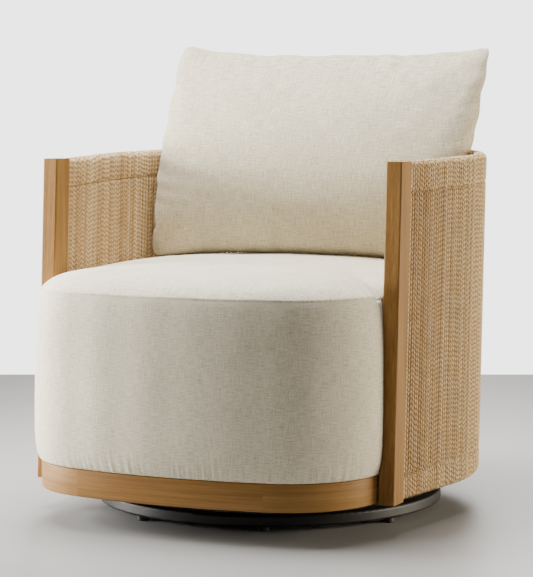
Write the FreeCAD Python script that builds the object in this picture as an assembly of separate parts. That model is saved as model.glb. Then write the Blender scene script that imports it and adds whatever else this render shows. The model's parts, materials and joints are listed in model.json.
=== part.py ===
import FreeCAD
import Part
import math
import os

# Swivel rocker: a round chair with two solid-wood front posts, a cord-wrapped barrel frame,
# an upholstered drum seat on a wood plinth, a loose back cushion, and a black steel base.
# Millimetres. +Z is up, the front faces -Y, and the origin is on the floor on the swivel axis,
# which is also the middle of the whole chair.

# Fits
seat_gap = 0.2            # between pieces of one body that are glued, welded or screwed together
moving_gap = 0.3          # between pieces that move past each other
running_gap = 0.05        # radial, a shaft in its bushing
soft_gap = 0.6            # between upholstery and the wood that it meets
bolt_end_room = 2.0       # left free past the end of a bolt or dowel
past = 1.0                # how far a cutting shape reaches past the face that it cuts

# Black steel base
base_radius = 310.0
base_tube_width = 24.0
base_tube_height = 20.0
base_tube_wall = 2.0
base_tube_rounding = 4.0
glide_height = 8.0
glide_radius = 11.0
glide_rounding = 1.5
glide_count = 8
glide_first_angle = 22.5
cross_bar_width = 45.0
cross_bar_thickness = 10.0
cross_bar_angle = 45.0
hub_plate_radius = 95.0
hub_plate_thickness = 6.0

# Ball bearing
race_outer_radius = 80.0
race_inner_radius = 45.0
race_thickness = 7.0
race_spacing = 3.0
ball_radius = 4.0
ball_path_radius = 62.0
ball_count = 18
cage_thickness = 1.6
cage_width = 16.0
race_screw_circle = 74.0
race_screw_radius = 2.5
race_screw_count = 4
race_screw_angle = 20.0
screw_head_height = 2.5
screw_head_radius = 4.5
screw_short = 1.0         # how far a screw's tip stays inside its race

# King bolt
king_bolt_radius = 8.0
king_head_radius = 13.0
king_head_height = 7.0
king_nut_height = 12.0
king_bolt_end = 3.0       # thread that shows past the nut
washer_thickness = 2.5
washer_radius = 17.0
bushing_wall = 4.0
bushing_flange = 4.0
bushing_flange_thickness = 4.0

# Swivel carriage and rock pivot
carriage_half_width = 112.0
carriage_half_length = 112.0
carriage_thickness = 6.0
carriage_corner = 18.0
pivot_height = 110.0
pivot_pin_radius = 6.0
pivot_head_radius = 10.0
pivot_head_thickness = 4.0
pivot_pin_stand = 2.0     # how far the pin stands out inside its bracket
bracket_thickness = 6.0
bracket_outer_face = 106.0
bracket_foot_length = 70.0
bracket_foot_width = 26.0
bracket_eye_radius = 19.0
hanger_eye_radius = 19.0
hanger_top_length = 120.0
hanger_flange_width = 30.0
hanger_bushing_wall = 3.0
bushing_collar = 1.5
bushing_collar_width = 2.5
top_plate_height = 163.0
top_plate_thickness = 5.0
top_plate_half_width = 150.0
top_plate_half_length = 125.0
plate_bolt_inset = 18.0
plate_bolt_depth = 28.0

# Rock springs
spring_radius = 19.0
spring_wire = 5.0
spring_turns = 6.5
spring_across = 66.0
spring_along = 84.0
cup_radius = 25.0
cup_thickness = 3.0
lower_boss_radius = 14.5
upper_boss_radius = 12.0
cup_boss_height = 9.0

# Wood plinth under the seat
plinth_front = 418.5
plinth_half_width = 308.5
plinth_front_radius = 920.0
plinth_corner_radius = 160.0
plinth_rear_centre = -20.0
plinth_bottom = 57.0
plinth_height = 47.0
plinth_wall = 22.0

# Seat drum
drum_inset = 10.0
drum_wall = 12.0
deck_height = 345.0
deck_thickness = 15.0
deck_width = 60.0
cross_rail_height = 40.0
cross_rail_width = 60.0
cross_rail_spacing = 190.0
block_size = 34.0
block_place = 170.0
block_height = 80.0
deck_spring_count = 5
deck_spring_spacing = 92.0
deck_spring_wire = 3.6
deck_spring_pitch = 28.0
deck_spring_width = 46.0
deck_spring_arch = 14.0
clip_length = 22.0
clip_thickness = 1.6

# Upholstery
cover_bulge = 11.5
cover_thickness = 3.0
cover_side_top = 412.0
cover_crown = 441.0
cover_edge_radius = 20.0
cover_hem_radius = 9.0
pad_bottom = 335.0
dust_cover_thickness = 1.2
dust_cover_height = 62.0
dust_cover_hole = 176.0

# Front posts
post_outer_face = 340.0
post_width = 28.5
post_depth = 46.0
post_front = 253.0
post_rounding = 3.0
frame_bottom = 55.0
frame_top = 620.0
frame_rake = 3.17         # degrees, posts and barrel lean back
arm_rise = 1.66           # degrees, the arm top climbs towards the back
arm_climb = 60.0          # more than the arm top climbs, for shapes that are cut off under it

# Barrel frame and its cord
wrap_inset = 1.0
cord_diameter = 6.0
arm_flare = 8.15          # degrees, the arms spread towards the back
wrap_rounding = 11.0
wrap_split = 45.0
top_rail_height = 46.0
bottom_rail_height = 38.0
upright_width = 42.0
upright_angles = (18.0, 72.0, 108.0, 162.0)
arm_upright_place = -60.0
dowel_radius = 4.0
dowel_length = 36.0
frame_bolt_radius = 4.0
frame_bolt_head_radius = 8.0
frame_bolt_head = 4.0
frame_bolt_into_rail = 10.0
frame_bolt_height = 80.0
spacer_radius = 9.0
flank_bolt_place = -110.0
rear_bolt_angles = (14.0, 66.0, 114.0, 166.0)

# Back cushion
cushion_half_width = 320.0
cushion_side_dip = 6.0
cushion_bottom = 8.0      # along the lean, from the cushion's foot line
cushion_top_middle = 400.0
cushion_top_ear = 428.0
cushion_seam = 3.5
cushion_front_bulge = 92.0
cushion_back_bulge = 112.0
cushion_fullness = 0.72
cushion_lean = 20.3       # degrees
cushion_foot_back = 150.0
cushion_foot_drop = 11.0  # below the seat's crown
cushion_cover = 2.0
cushion_edge_inset = 3.0  # times the cover, how far the fill stays inside the thin seam
cushion_spans = 12

# Worked out from the sizes above
rake = math.tan(math.radians(frame_rake))
base_bottom = glide_height
base_top = base_bottom + base_tube_height
hub_top = base_top + hub_plate_thickness
lower_race_top = hub_top + race_thickness
upper_race_bottom = lower_race_top + race_spacing
ball_height = lower_race_top + race_spacing / 2.0
carriage_bottom = upper_race_bottom + race_thickness
carriage_top = carriage_bottom + carriage_thickness
plinth_top = plinth_bottom + plinth_height
deck_bottom = deck_height - deck_thickness
pad_height = deck_height + deck_spring_wire + clip_thickness + 2.0 * soft_gap
half_depth = plinth_front + cover_bulge
cushion_foot_height = cover_crown - cushion_foot_drop
top_plate_top = top_plate_height + top_plate_thickness
post_rear = post_depth - post_front
wall = post_width - 2.0 * wrap_inset
rail_in = cord_diameter + seat_gap
rail_out = wall - cord_diameter - seat_gap
spring_bottom = carriage_top + cup_thickness
spring_top = top_plate_height - cup_thickness
cord_bottom = frame_bottom
big = 2000.0


def vec(x, y, z):
    return FreeCAD.Vector(x, y, z)


def block(x0, x1, y0, y1, z0, z1):
    return Part.makeBox(x1 - x0, y1 - y0, z1 - z0, vec(x0, y0, z0))


def rod(radius, start, end):
    return Part.makeCylinder(radius, (end - start).Length, start, end - start)


def post_of(radius, z0, z1, x=0.0, y=0.0):
    return rod(radius, vec(x, y, z0), vec(x, y, z1))


def washer(outer, inner, z0, z1, x=0.0, y=0.0):
    return post_of(outer, z0, z1, x, y).cut(post_of(inner, z0 - past, z1 + past, x, y))


def polar(radius, degrees):
    angle = math.radians(degrees)
    return radius * math.cos(angle), radius * math.sin(angle)


def arc(centre, radius, start, end):
    """Edge of a circle in the XY plane, from one angle to another, in degrees."""
    points = []
    for angle in (start, (start + end) / 2.0, end):
        x, y = polar(radius, angle)
        points.append(vec(centre[0] + x, centre[1] + y, 0.0))
    return Part.Arc(*points).toShape()


def line(start, end):
    return Part.makeLine(vec(start[0], start[1], 0.0), vec(end[0], end[1], 0.0))


def face_of(edges):
    return Part.Face(Part.Wire(Part.__sortEdges__(edges)))


def raised(face, z0, z1):
    """Straight prism of a flat face between two heights."""
    moved = face.copy()
    moved.translate(vec(0.0, 0.0, z0))
    return moved.extrude(vec(0.0, 0.0, z1 - z0))


def leaning(face, z0, z1):
    """Prism of a flat face between two heights, leaning back by the frame's rake."""
    moved = face.copy()
    moved.translate(vec(0.0, rake * (z0 - frame_bottom), z0))
    return moved.extrude(vec(0.0, rake * (z1 - z0), z1 - z0))


def mirrored(shape):
    return shape.mirror(vec(0.0, 0.0, 0.0), vec(1.0, 0.0, 0.0))


# Outlines

def drum_face(offset):
    """The seat's D outline, seen from above: a shallow front arc, two round corners,
    straight flanks and a half-round rear."""
    half = plinth_half_width + offset
    front_centre = plinth_front_radius - plinth_front
    reach = plinth_front_radius - plinth_corner_radius
    across = plinth_half_width - plinth_corner_radius
    down = math.sqrt(reach * reach - across * across)
    corner = (across, front_centre - down)
    turn = math.degrees(math.atan2(-down, across))
    edges = [
        arc((0.0, front_centre), plinth_front_radius + offset, -180.0 - turn, turn),
        arc(corner, plinth_corner_radius + offset, turn, 0.0),
        line((half, corner[1]), (half, plinth_rear_centre)),
        arc((0.0, plinth_rear_centre), half, 0.0, 180.0),
        line((-half, plinth_rear_centre), (-half, corner[1])),
        arc((-corner[0], corner[1]), plinth_corner_radius + offset, 180.0, 180.0 - turn),
    ]
    return face_of(edges)


def barrel_rear():
    """How far back the barrel's outer face lies at the frame's bottom, for a leaning top that
    ends at the chair's half depth."""
    rise = math.tan(math.radians(arm_rise))
    climb = rake * rise / (1.0 - rake * rise)
    lean = rake * (frame_top - frame_bottom)
    return (half_depth - lean + climb * post_rear) / (1.0 + climb)


def barrel_plan(inward):
    """Centre, radius and arm flare of the barrel's plan, moved inward from its outer face:
    a straight arm that flares from the post and runs into one large arc."""
    flare = math.radians(arm_flare)
    start = post_outer_face - wrap_inset
    depth = barrel_rear() - post_rear
    radius = (start * math.cos(flare) + depth * math.sin(flare)) / (1.0 + math.sin(flare))
    return barrel_rear() - radius, radius - inward, flare


def barrel_x_at(inward, y):
    """Half width of the barrel's plan at one place along it."""
    centre, radius, flare = barrel_plan(inward)
    if y < centre - radius * math.sin(flare):
        return (radius - (centre - y) * math.sin(flare)) / math.cos(flare)
    return math.sqrt(radius * radius - (y - centre) ** 2)


def barrel_path(inward, start_y):
    """Edges of the barrel's plan, moved inward from its outer face, and its two ends."""
    centre, radius, flare = barrel_plan(inward)
    start = (barrel_x_at(inward, start_y), start_y)
    tangent = (radius * math.cos(flare), centre - radius * math.sin(flare))
    turn = math.degrees(flare)
    right = line(start, tangent)
    back = arc((0.0, centre), radius, -turn, 180.0 + turn)
    return [right, back, mirrored(right)], start, (-start[0], start[1])


def barrel_band(outer_inward, inner_inward, start_y):
    """U-shaped face between two lines that run along the barrel's plan."""
    outer, outer_right, outer_left = barrel_path(outer_inward, start_y)
    inner, inner_right, inner_left = barrel_path(inner_inward, start_y)
    return face_of(outer + inner + [line(outer_right, inner_right), line(outer_left, inner_left)])


def barrel_inside(inward, start_y):
    edges, right, left = barrel_path(inward, start_y)
    return face_of(edges + [line(right, left)])


def under_arm_top(drop):
    """Everything below the arm's top face, lowered by a drop."""
    space = block(-big, big, -big, big, -big, 0.0)
    space.rotate(vec(0.0, 0.0, 0.0), vec(1.0, 0.0, 0.0), arm_rise)
    space.translate(vec(0.0, post_rear + rake * (frame_top - frame_bottom), frame_top - drop))
    return space


def post_shape(grow):
    """Right front post, grown on every side for the room that it needs."""
    x0 = post_outer_face - post_width - grow
    x1 = post_outer_face + grow
    front = -post_front - grow
    back = post_rear + grow
    low = frame_bottom - grow
    high = frame_top + grow
    corners = [
        vec(x0, front + rake * (low - frame_bottom), low),
        vec(x0, back + rake * (low - frame_bottom), low),
        vec(x0, back + rake * (high - frame_bottom), high),
        vec(x0, front + rake * (high - frame_bottom), high),
    ]
    side = Part.Face(Part.makePolygon(corners + corners[:1]))
    return side.extrude(vec(x1 - x0, 0.0, 0.0))


def frame_room(grow):
    """Room taken by both posts and the barrel, grown inward."""
    right = post_shape(grow)
    band = barrel_band(0.0, wall + grow, post_rear)
    barrel = leaning(band, cord_bottom - grow, frame_top + arm_climb).common(under_arm_top(-grow))
    return barrel.fuse([right, mirrored(right)])


# Base

def make_base_ring():
    inner = base_radius - base_tube_width
    profile = washer(base_radius, inner, base_bottom, base_top)
    profile = profile.makeFillet(base_tube_rounding, [e for e in profile.Edges if len(e.Vertexes) == 1])
    hollow = washer(base_radius - base_tube_wall, inner + base_tube_wall,
                    base_bottom + base_tube_wall, base_top - base_tube_wall)
    return profile.cut(hollow)


def glide_places():
    radius = base_radius - base_tube_width / 2.0
    for index in range(glide_count):
        yield polar(radius, glide_first_angle + index * 360.0 / glide_count)


def make_glides():
    glides = []
    for x, y in glide_places():
        pad = post_of(glide_radius, 0.0, glide_height, x, y)
        rim = [e for e in pad.Edges if e.BoundBox.ZMax < glide_rounding]
        glides.append(pad.makeFillet(glide_rounding, rim))
    return Part.makeCompound(glides)


def cross_bar(half_from):
    inner = base_radius - base_tube_width - seat_gap
    half = cross_bar_width / 2.0
    bar = block(half_from, big, -half, half, base_top - cross_bar_thickness, base_top)
    return bar.common(post_of(inner, base_bottom, base_top))


def make_cross_bar():
    right = cross_bar(0.0)
    bar = right.fuse(mirrored(right)).removeSplitter()
    bar = bar.cut(post_of(king_bolt_radius + seat_gap, base_bottom, base_top + past))
    bar.rotate(vec(0.0, 0.0, 0.0), vec(0.0, 0.0, 1.0), cross_bar_angle)
    return bar


def make_cross_bar_halves():
    first = cross_bar(cross_bar_width / 2.0 + seat_gap)
    halves = [first, mirrored(first)]
    for half in halves:
        half.rotate(vec(0.0, 0.0, 0.0), vec(0.0, 0.0, 1.0), cross_bar_angle + 90.0)
    return Part.makeCompound(halves)


def race_screw_places():
    for index in range(race_screw_count):
        yield polar(race_screw_circle, race_screw_angle + index * 360.0 / race_screw_count)


def make_hub_plate():
    plate = washer(hub_plate_radius, king_bolt_radius + seat_gap, base_top, hub_top)
    for x, y in race_screw_places():
        plate = plate.cut(post_of(race_screw_radius + seat_gap, base_top - past, hub_top + past, x, y))
    return plate


def ball_groove():
    return Part.makeTorus(ball_path_radius, ball_radius + moving_gap, vec(0.0, 0.0, ball_height))


def race(z0, z1):
    ring = washer(race_outer_radius, race_inner_radius, z0, z1).cut(ball_groove())
    for x, y in race_screw_places():
        ring = ring.cut(post_of(race_screw_radius + seat_gap, z0 - past, z1 + past, x, y))
    return ring


def make_lower_race():
    return race(hub_top, lower_race_top)


def make_upper_race():
    return race(upper_race_bottom, carriage_bottom)


def race_screws(head, way, length):
    """Screws through a race: heads at one height, shanks running up or down from it."""
    screws = []
    for x, y in race_screw_places():
        middle = vec(x, y, head)
        top = rod(screw_head_radius, middle, middle - vec(0.0, 0.0, way * screw_head_height))
        shank = rod(race_screw_radius, middle, middle + vec(0.0, 0.0, way * length))
        screws.append(top.fuse(shank).removeSplitter())
    return Part.makeCompound(screws)


def make_lower_race_screws():
    return race_screws(base_top, 1.0, hub_plate_thickness + race_thickness - screw_short)


def make_upper_race_screws():
    return race_screws(carriage_top, -1.0, carriage_thickness + race_thickness - screw_short)


def make_king_bolt():
    head_top = base_top - cross_bar_thickness - seat_gap
    head = post_of(king_head_radius, head_top - king_head_height, head_top)
    top = carriage_top + moving_gap + washer_thickness + king_nut_height + king_bolt_end
    return head.fuse(post_of(king_bolt_radius, head_top, top)).removeSplitter()


def make_king_nut():
    bottom = carriage_top + moving_gap + washer_thickness + seat_gap
    hexagon = Part.makePolygon([vec(*polar(king_head_radius, 60.0 * i), bottom) for i in range(7)])
    nut = Part.Face(hexagon).extrude(vec(0.0, 0.0, king_nut_height))
    return nut.cut(post_of(king_bolt_radius + running_gap, bottom - past, bottom + king_nut_height + past))


def make_king_washer():
    bottom = carriage_top + moving_gap
    return washer(washer_radius, king_bolt_radius + running_gap, bottom, bottom + washer_thickness)


# Ball cage

def ball_places():
    for index in range(ball_count):
        yield polar(ball_path_radius, index * 360.0 / ball_count)


def make_ball_cage():
    low = ball_height - cage_thickness / 2.0
    high = ball_height + cage_thickness / 2.0
    cage = washer(ball_path_radius + cage_width / 2.0, ball_path_radius - cage_width / 2.0, low, high)
    for x, y in ball_places():
        cage = cage.cut(post_of(ball_radius + seat_gap, low - past, high + past, x, y))
    return cage


def make_bearing_balls():
    balls = [Part.makeSphere(ball_radius, vec(x, y, ball_height)) for x, y in ball_places()]
    return Part.makeCompound(balls)


# Swivel carriage

def bushing_outer():
    return king_bolt_radius + running_gap + bushing_wall


def make_carriage_plate():
    plate = block(-carriage_half_width, carriage_half_width, -carriage_half_length, carriage_half_length,
                  carriage_bottom, carriage_top)
    upright = [e for e in plate.Edges if e.BoundBox.ZLength > carriage_thickness / 2.0]
    plate = plate.makeFillet(carriage_corner, upright)
    plate = plate.cut(post_of(bushing_outer() + seat_gap, carriage_bottom - past, carriage_top + past))
    for x, y in race_screw_places():
        hole = post_of(race_screw_radius + seat_gap, carriage_bottom - past, carriage_top + past, x, y)
        plate = plate.cut(hole)
    return plate


def make_king_bushing():
    bore = king_bolt_radius + running_gap
    low = carriage_bottom - seat_gap - bushing_flange_thickness
    sleeve = post_of(bushing_outer(), low, carriage_top)
    flange = post_of(bushing_outer() + bushing_flange, low, carriage_bottom - seat_gap)
    return sleeve.fuse(flange).removeSplitter().cut(post_of(bore, low - past, carriage_top + past))


def side_plate(x0, x1, base_length, base_height, tip_height, eye_radius):
    """Plate across X whose flat end tapers into a round eye."""
    half = base_length / 2.0
    end = vec(x0, 0.0, base_height)
    side = math.copysign(1.0, tip_height - base_height)
    eye = rod(eye_radius, vec(x0, 0.0, tip_height), vec(x1, 0.0, tip_height))
    rise = abs(tip_height - base_height)
    angle = math.atan2(rise, half) - math.acos(eye_radius / math.hypot(half, rise))
    touch_y = eye_radius * math.cos(angle)
    touch_z = tip_height + side * eye_radius * math.sin(angle)
    outline = [
        vec(x0, -half, end.z), vec(x0, half, end.z), vec(x0, touch_y, touch_z),
        vec(x0, -touch_y, touch_z), vec(x0, -half, end.z),
    ]
    plate = Part.Face(Part.makePolygon(outline)).extrude(vec(x1 - x0, 0.0, 0.0))
    return plate.fuse(eye).removeSplitter()


def make_rocker_bracket():
    """Upright bracket on the right of the carriage, with the rock pin's hole."""
    x1 = bracket_outer_face
    x0 = x1 - bracket_thickness
    foot_top = carriage_top + bracket_thickness
    upright = side_plate(x0, x1, bracket_foot_length, carriage_top, pivot_height, bracket_eye_radius)
    foot = block(x0 - bracket_foot_width, x0, -bracket_foot_length / 2.0, bracket_foot_length / 2.0,
                 carriage_top, foot_top)
    bracket = upright.fuse(foot).removeSplitter()
    hole = rod(pivot_pin_radius + seat_gap / 4.0, vec(x0 - past, 0.0, pivot_height),
               vec(x1 + past, 0.0, pivot_height))
    return bracket.cut(hole)


def make_rock_pin():
    """Pin that is fixed in the carriage's bracket and carries the seat's hanger."""
    start = bracket_outer_face - bracket_thickness - pivot_pin_stand
    outer = hanger_outer_face() + bushing_collar + moving_gap
    pin = rod(pivot_pin_radius, vec(start, 0.0, pivot_height), vec(outer, 0.0, pivot_height))
    head = rod(pivot_head_radius, vec(outer, 0.0, pivot_height),
               vec(outer + pivot_head_thickness, 0.0, pivot_height))
    return pin.fuse(head).removeSplitter()


def spring_places():
    for x in (-spring_across, spring_across):
        for y in (-spring_along, spring_along):
            yield x, y


def make_lower_spring_cups():
    cups = []
    for x, y in spring_places():
        cup = post_of(cup_radius, carriage_top, carriage_top + cup_thickness, x, y)
        boss = post_of(lower_boss_radius, carriage_top, spring_bottom + cup_boss_height, x, y)
        cups.append(cup.fuse(boss).removeSplitter())
    return Part.makeCompound(cups)


def make_rock_spring(x, y):
    """Coil spring with flat ground ends, standing between its two cups."""
    low = spring_bottom + moving_gap
    high = spring_top - moving_gap
    pitch = (high - low) / spring_turns
    helix = Part.makeHelix(pitch, high - low, spring_radius)
    start = vec(spring_radius, 0.0, 0.0)
    circle = Part.Wire([Part.Circle(start, vec(0.0, 1.0, pitch / (2.0 * math.pi * spring_radius)),
                                    spring_wire / 2.0).toShape()])
    coil = Part.Wire(helix).makePipeShell([circle], True, True)
    coil.translate(vec(x, y, low))
    reach = cup_radius + spring_wire
    return coil.common(block(x - reach, x + reach, y - reach, y + reach, low, high))


# Rocking seat frame

def hanger_inner_face():
    return bracket_outer_face + bushing_collar + moving_gap


def hanger_outer_face():
    return hanger_inner_face() + bracket_thickness


def hanger_bore():
    return pivot_pin_radius + running_gap + hanger_bushing_wall


def make_hanger():
    """Bracket under the right of the seat that hangs on the rock pin's outer end."""
    x0 = hanger_inner_face()
    x1 = hanger_outer_face()
    top = top_plate_height
    drop = side_plate(x0, x1, hanger_top_length, top, pivot_height, hanger_eye_radius)
    flange = block(x1, x1 + hanger_flange_width, -hanger_top_length / 2.0, hanger_top_length / 2.0,
                   top - bracket_thickness, top)
    hanger = drop.fuse(flange).removeSplitter()
    hole = rod(hanger_bore() + seat_gap / 4.0, vec(x0 - past, 0.0, pivot_height),
               vec(x1 + past, 0.0, pivot_height))
    return hanger.cut(hole)


def make_hanger_bushing():
    x0 = hanger_inner_face()
    x1 = hanger_outer_face()
    sleeve = rod(hanger_bore(), vec(x0, 0.0, pivot_height), vec(x1 + bushing_collar, 0.0, pivot_height))
    inner = rod(hanger_bore() + bushing_collar_width, vec(x0 - bushing_collar, 0.0, pivot_height),
                vec(x0, 0.0, pivot_height))
    bushing = sleeve.fuse(inner).removeSplitter()
    bore = rod(pivot_pin_radius + running_gap, vec(x0 - bushing_collar - past, 0.0, pivot_height),
               vec(x1 + bushing_collar + past, 0.0, pivot_height))
    return bushing.cut(bore)


def make_upper_spring_cups():
    cups = []
    for x, y in spring_places():
        cup = post_of(cup_radius, spring_top, top_plate_height, x, y)
        boss = post_of(upper_boss_radius, spring_top - cup_boss_height, spring_top, x, y)
        cups.append(cup.fuse(boss).removeSplitter())
    return Part.makeCompound(cups)


def plate_bolt_places():
    for x in (-1.0, 1.0):
        for y in (-1.0, 1.0):
            yield x * (top_plate_half_width - plate_bolt_inset), y * cross_rail_spacing / 2.0


def make_top_plate():
    plate = block(-top_plate_half_width, top_plate_half_width, -top_plate_half_length,
                  top_plate_half_length, top_plate_height, top_plate_top)
    for x, y in plate_bolt_places():
        hole = post_of(frame_bolt_radius + seat_gap, top_plate_height - past, top_plate_top + past, x, y)
        plate = plate.cut(hole)
    return plate


def make_plate_bolts():
    bolts = []
    for x, y in plate_bolt_places():
        head = post_of(frame_bolt_head_radius, top_plate_height - frame_bolt_head, top_plate_height, x, y)
        shank = post_of(frame_bolt_radius, top_plate_height, top_plate_top + plate_bolt_depth, x, y)
        bolts.append(head.fuse(shank).removeSplitter())
    return Part.makeCompound(bolts)


def make_cross_rail(y):
    half = cross_rail_width / 2.0
    beam = block(-big, big, y - half, y + half, top_plate_top, top_plate_top + cross_rail_height)
    inside = raised(drum_face(-drum_inset - drum_wall - seat_gap), top_plate_top,
                    top_plate_top + cross_rail_height)
    rail = beam.common(inside)
    for bolt_x, bolt_y in plate_bolt_places():
        rail = rail.cut(post_of(frame_bolt_radius + seat_gap, top_plate_height,
                                top_plate_top + plate_bolt_depth + bolt_end_room, bolt_x, bolt_y))
    return rail


def frame_bolt_lines():
    """Start and end of each bolt that ties the plinth to the barrel's bottom rail: two
    square to the straight flanks, and four on radii of the round rear."""
    lines = []
    lean = rake * (frame_bolt_height - frame_bottom)
    depth = rail_out - frame_bolt_into_rail
    inner = plinth_half_width - plinth_wall
    end = barrel_x_at(depth, flank_bolt_place - lean)
    for side in (-1.0, 1.0):
        lines.append((vec(side * inner, flank_bolt_place, frame_bolt_height),
                      vec(side * end, flank_bolt_place, frame_bolt_height)))
    offset = barrel_plan(0.0)[0] + lean - plinth_rear_centre
    reach = barrel_plan(depth)[1]
    for angle in rear_bolt_angles:
        x, y = polar(1.0, angle)
        far = offset * y + math.sqrt(reach * reach - offset * offset * (1.0 - y * y))
        lines.append((vec(inner * x, plinth_rear_centre + inner * y, frame_bolt_height),
                      vec(far * x, plinth_rear_centre + far * y, frame_bolt_height)))
    return lines


def frame_bolt_room(radius):
    """Holes for the frame bolts, a little longer than the bolts."""
    rods = []
    for start, end in frame_bolt_lines():
        way = (end - start).normalize()
        rods.append(rod(radius, start - way * past, end + way * bolt_end_room))
    return rods


def make_plinth():
    ring = raised(drum_face(0.0), plinth_bottom, plinth_top)
    ring = ring.cut(raised(drum_face(-plinth_wall), plinth_bottom - past, plinth_top + past))
    return ring.cut(frame_bolt_room(frame_bolt_radius + seat_gap))


def make_drum_wall():
    ring = raised(drum_face(-drum_inset), plinth_top, deck_bottom)
    return ring.cut(raised(drum_face(-drum_inset - drum_wall), plinth_top - past, deck_bottom + past))


def make_corner_blocks():
    """Glue blocks that tie the drum wall to the plinth from inside."""
    inside = raised(drum_face(-plinth_wall - seat_gap), plinth_bottom, deck_bottom)
    core = raised(drum_face(-plinth_wall - block_size), plinth_bottom - past, deck_bottom + past)
    band = inside.cut(core)
    low = plinth_top - block_height / 2.0
    half = block_size / 2.0
    blocks = []
    for x in (-block_place, block_place):
        blocks.extend(band.common(block(x - half, x + half, -big, big, low, low + block_height)).Solids)
    return Part.makeCompound(blocks)


def make_deck_frame():
    ring = raised(drum_face(-drum_inset), deck_bottom, deck_height)
    return ring.cut(raised(drum_face(-drum_inset - deck_width), deck_bottom - past, deck_height + past))


def deck_spring_rows():
    first = -(deck_spring_count - 1) / 2.0 * deck_spring_spacing
    for index in range(deck_spring_count):
        yield first + index * deck_spring_spacing


def drum_y_at(offset, x):
    """Front and rear of the seat's D outline at one distance from the middle."""
    front_centre = plinth_front_radius - plinth_front
    reach = plinth_front_radius - plinth_corner_radius
    across = plinth_half_width - plinth_corner_radius
    down = math.sqrt(reach * reach - across * across)
    x = abs(x)
    if x < (plinth_front_radius + offset) * across / reach:
        front = front_centre - math.sqrt((plinth_front_radius + offset) ** 2 - x * x)
    else:
        corner = plinth_corner_radius + offset
        front = front_centre - down - math.sqrt(corner * corner - (x - across) ** 2)
    rear = plinth_rear_centre + math.sqrt((plinth_half_width + offset) ** 2 - x * x)
    return front, rear


def deck_row_ends(row):
    return drum_y_at(-drum_inset - deck_width / 2.0, row)


def make_deck_springs():
    """Sinuous wire springs that carry the seat foam, running from front to back."""
    height = deck_height + deck_spring_wire / 2.0 + seat_gap
    half = deck_spring_width / 2.0 - deck_spring_arch
    springs = []
    for row in deck_spring_rows():
        front, rear = deck_row_ends(row)
        bends = round((rear - front) / deck_spring_pitch)
        pitch = (rear - front) / bends
        edges = []
        side = 1.0
        for index in range(bends):
            y = front + index * pitch
            near = vec(row + side * half, y, height)
            tip = vec(row + side * (half + deck_spring_arch), y + pitch / 2.0, height)
            far = vec(row + side * half, y + pitch, height)
            edges.append(Part.makeLine(vec(row - side * half, y, height), near))
            edges.append(Part.Arc(near, tip, far).toShape())
            side = -side
        last = vec(row - side * half, rear, height)
        edges.append(Part.makeLine(last, last + vec(side * half * 2.0, 0.0, 0.0)))
        path = Part.Wire(edges)
        start = vec(row - half, front, height)
        section = Part.Circle(start, vec(1.0, 0.0, 0.0), deck_spring_wire / 2.0).toShape()
        springs.append(path.makePipeShell([Part.Wire([section])], True, True))
    return Part.makeCompound(springs)


def make_spring_clips():
    """Steel clips that hold each spring's first and last wire on the deck frame."""
    clips = []
    high = deck_height + deck_spring_wire + 2.0 * seat_gap
    half = clip_length / 2.0
    for row in deck_spring_rows():
        for end, y in zip((-1.0, 1.0), deck_row_ends(row)):
            top = block(row - half, row + half, y - half, y + half, high, high + clip_thickness)
            outer = y + end * half
            low_y = min(outer, outer - end * clip_thickness)
            lip = block(row - half, row + half, low_y, low_y + clip_thickness, deck_height, high)
            clips.append(top.fuse(lip).removeSplitter())
    return Part.makeCompound(clips)


# Upholstery

def crown_cap(drop):
    """Shallow dome over the seat, lowered by a drop."""
    rise = cover_crown - cover_side_top
    radius = (plinth_front * plinth_front + rise * rise) / (2.0 * rise)
    return Part.makeSphere(radius, vec(0.0, 0.0, cover_crown - drop - radius))


def seat_form(inset):
    """The upholstered seat's outer form, drawn in by an inset: the drum with its rounded top
    and hem, and the pad that fills the space between the arms."""
    bottom = plinth_top + soft_gap + inset
    cap = crown_cap(inset)
    drum = raised(drum_face(cover_bulge - inset), bottom, cover_crown + past).common(cap)
    rim = [e for e in drum.Edges if e.BoundBox.ZMin > deck_height]
    drum = drum.makeFillet(cover_edge_radius - inset, rim)
    hem = [e for e in drum.Edges if e.BoundBox.ZMax < bottom + past]
    drum = drum.makeFillet(cover_hem_radius - inset, hem)
    inside = barrel_inside(wall + soft_gap + inset, post_rear + soft_gap + inset)
    pad = leaning(inside, pad_bottom + inset, cover_crown + past).common(cap)
    return drum.fuse(pad).cut(frame_room(soft_gap + inset))


def drum_core(grow):
    return raised(drum_face(grow - drum_inset), 0.0, pad_height - grow)


def make_seat_cover():
    return seat_form(0.0).cut(seat_form(cover_thickness)).cut(drum_core(seat_gap))


def make_seat_foam():
    """Foam block on the springs, under the cover's crown."""
    form = seat_form(cover_thickness + seat_gap)
    return form.common(block(-big, big, -big, big, pad_height, big))


def padding_round_drum(low, high):
    form = seat_form(cover_thickness + seat_gap).common(block(-big, big, -big, big, low, high))
    return form.cut(raised(drum_face(seat_gap - drum_inset), 0.0, big))


def make_side_padding():
    """Padding between the drum wall and the cover's side."""
    return padding_round_drum(0.0, pad_bottom)


def make_rim_padding():
    """Padding round the deck, which reaches out to the barrel behind the posts."""
    return padding_round_drum(pad_bottom + seat_gap, pad_height - seat_gap)


def make_dust_cover():
    face = raised(drum_face(-plinth_wall - seat_gap), dust_cover_height,
                  dust_cover_height + dust_cover_thickness)
    hole = post_of(dust_cover_hole, 0.0, dust_cover_height + dust_cover_thickness + past)
    return face.cut(hole)


# Posts and barrel

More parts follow.
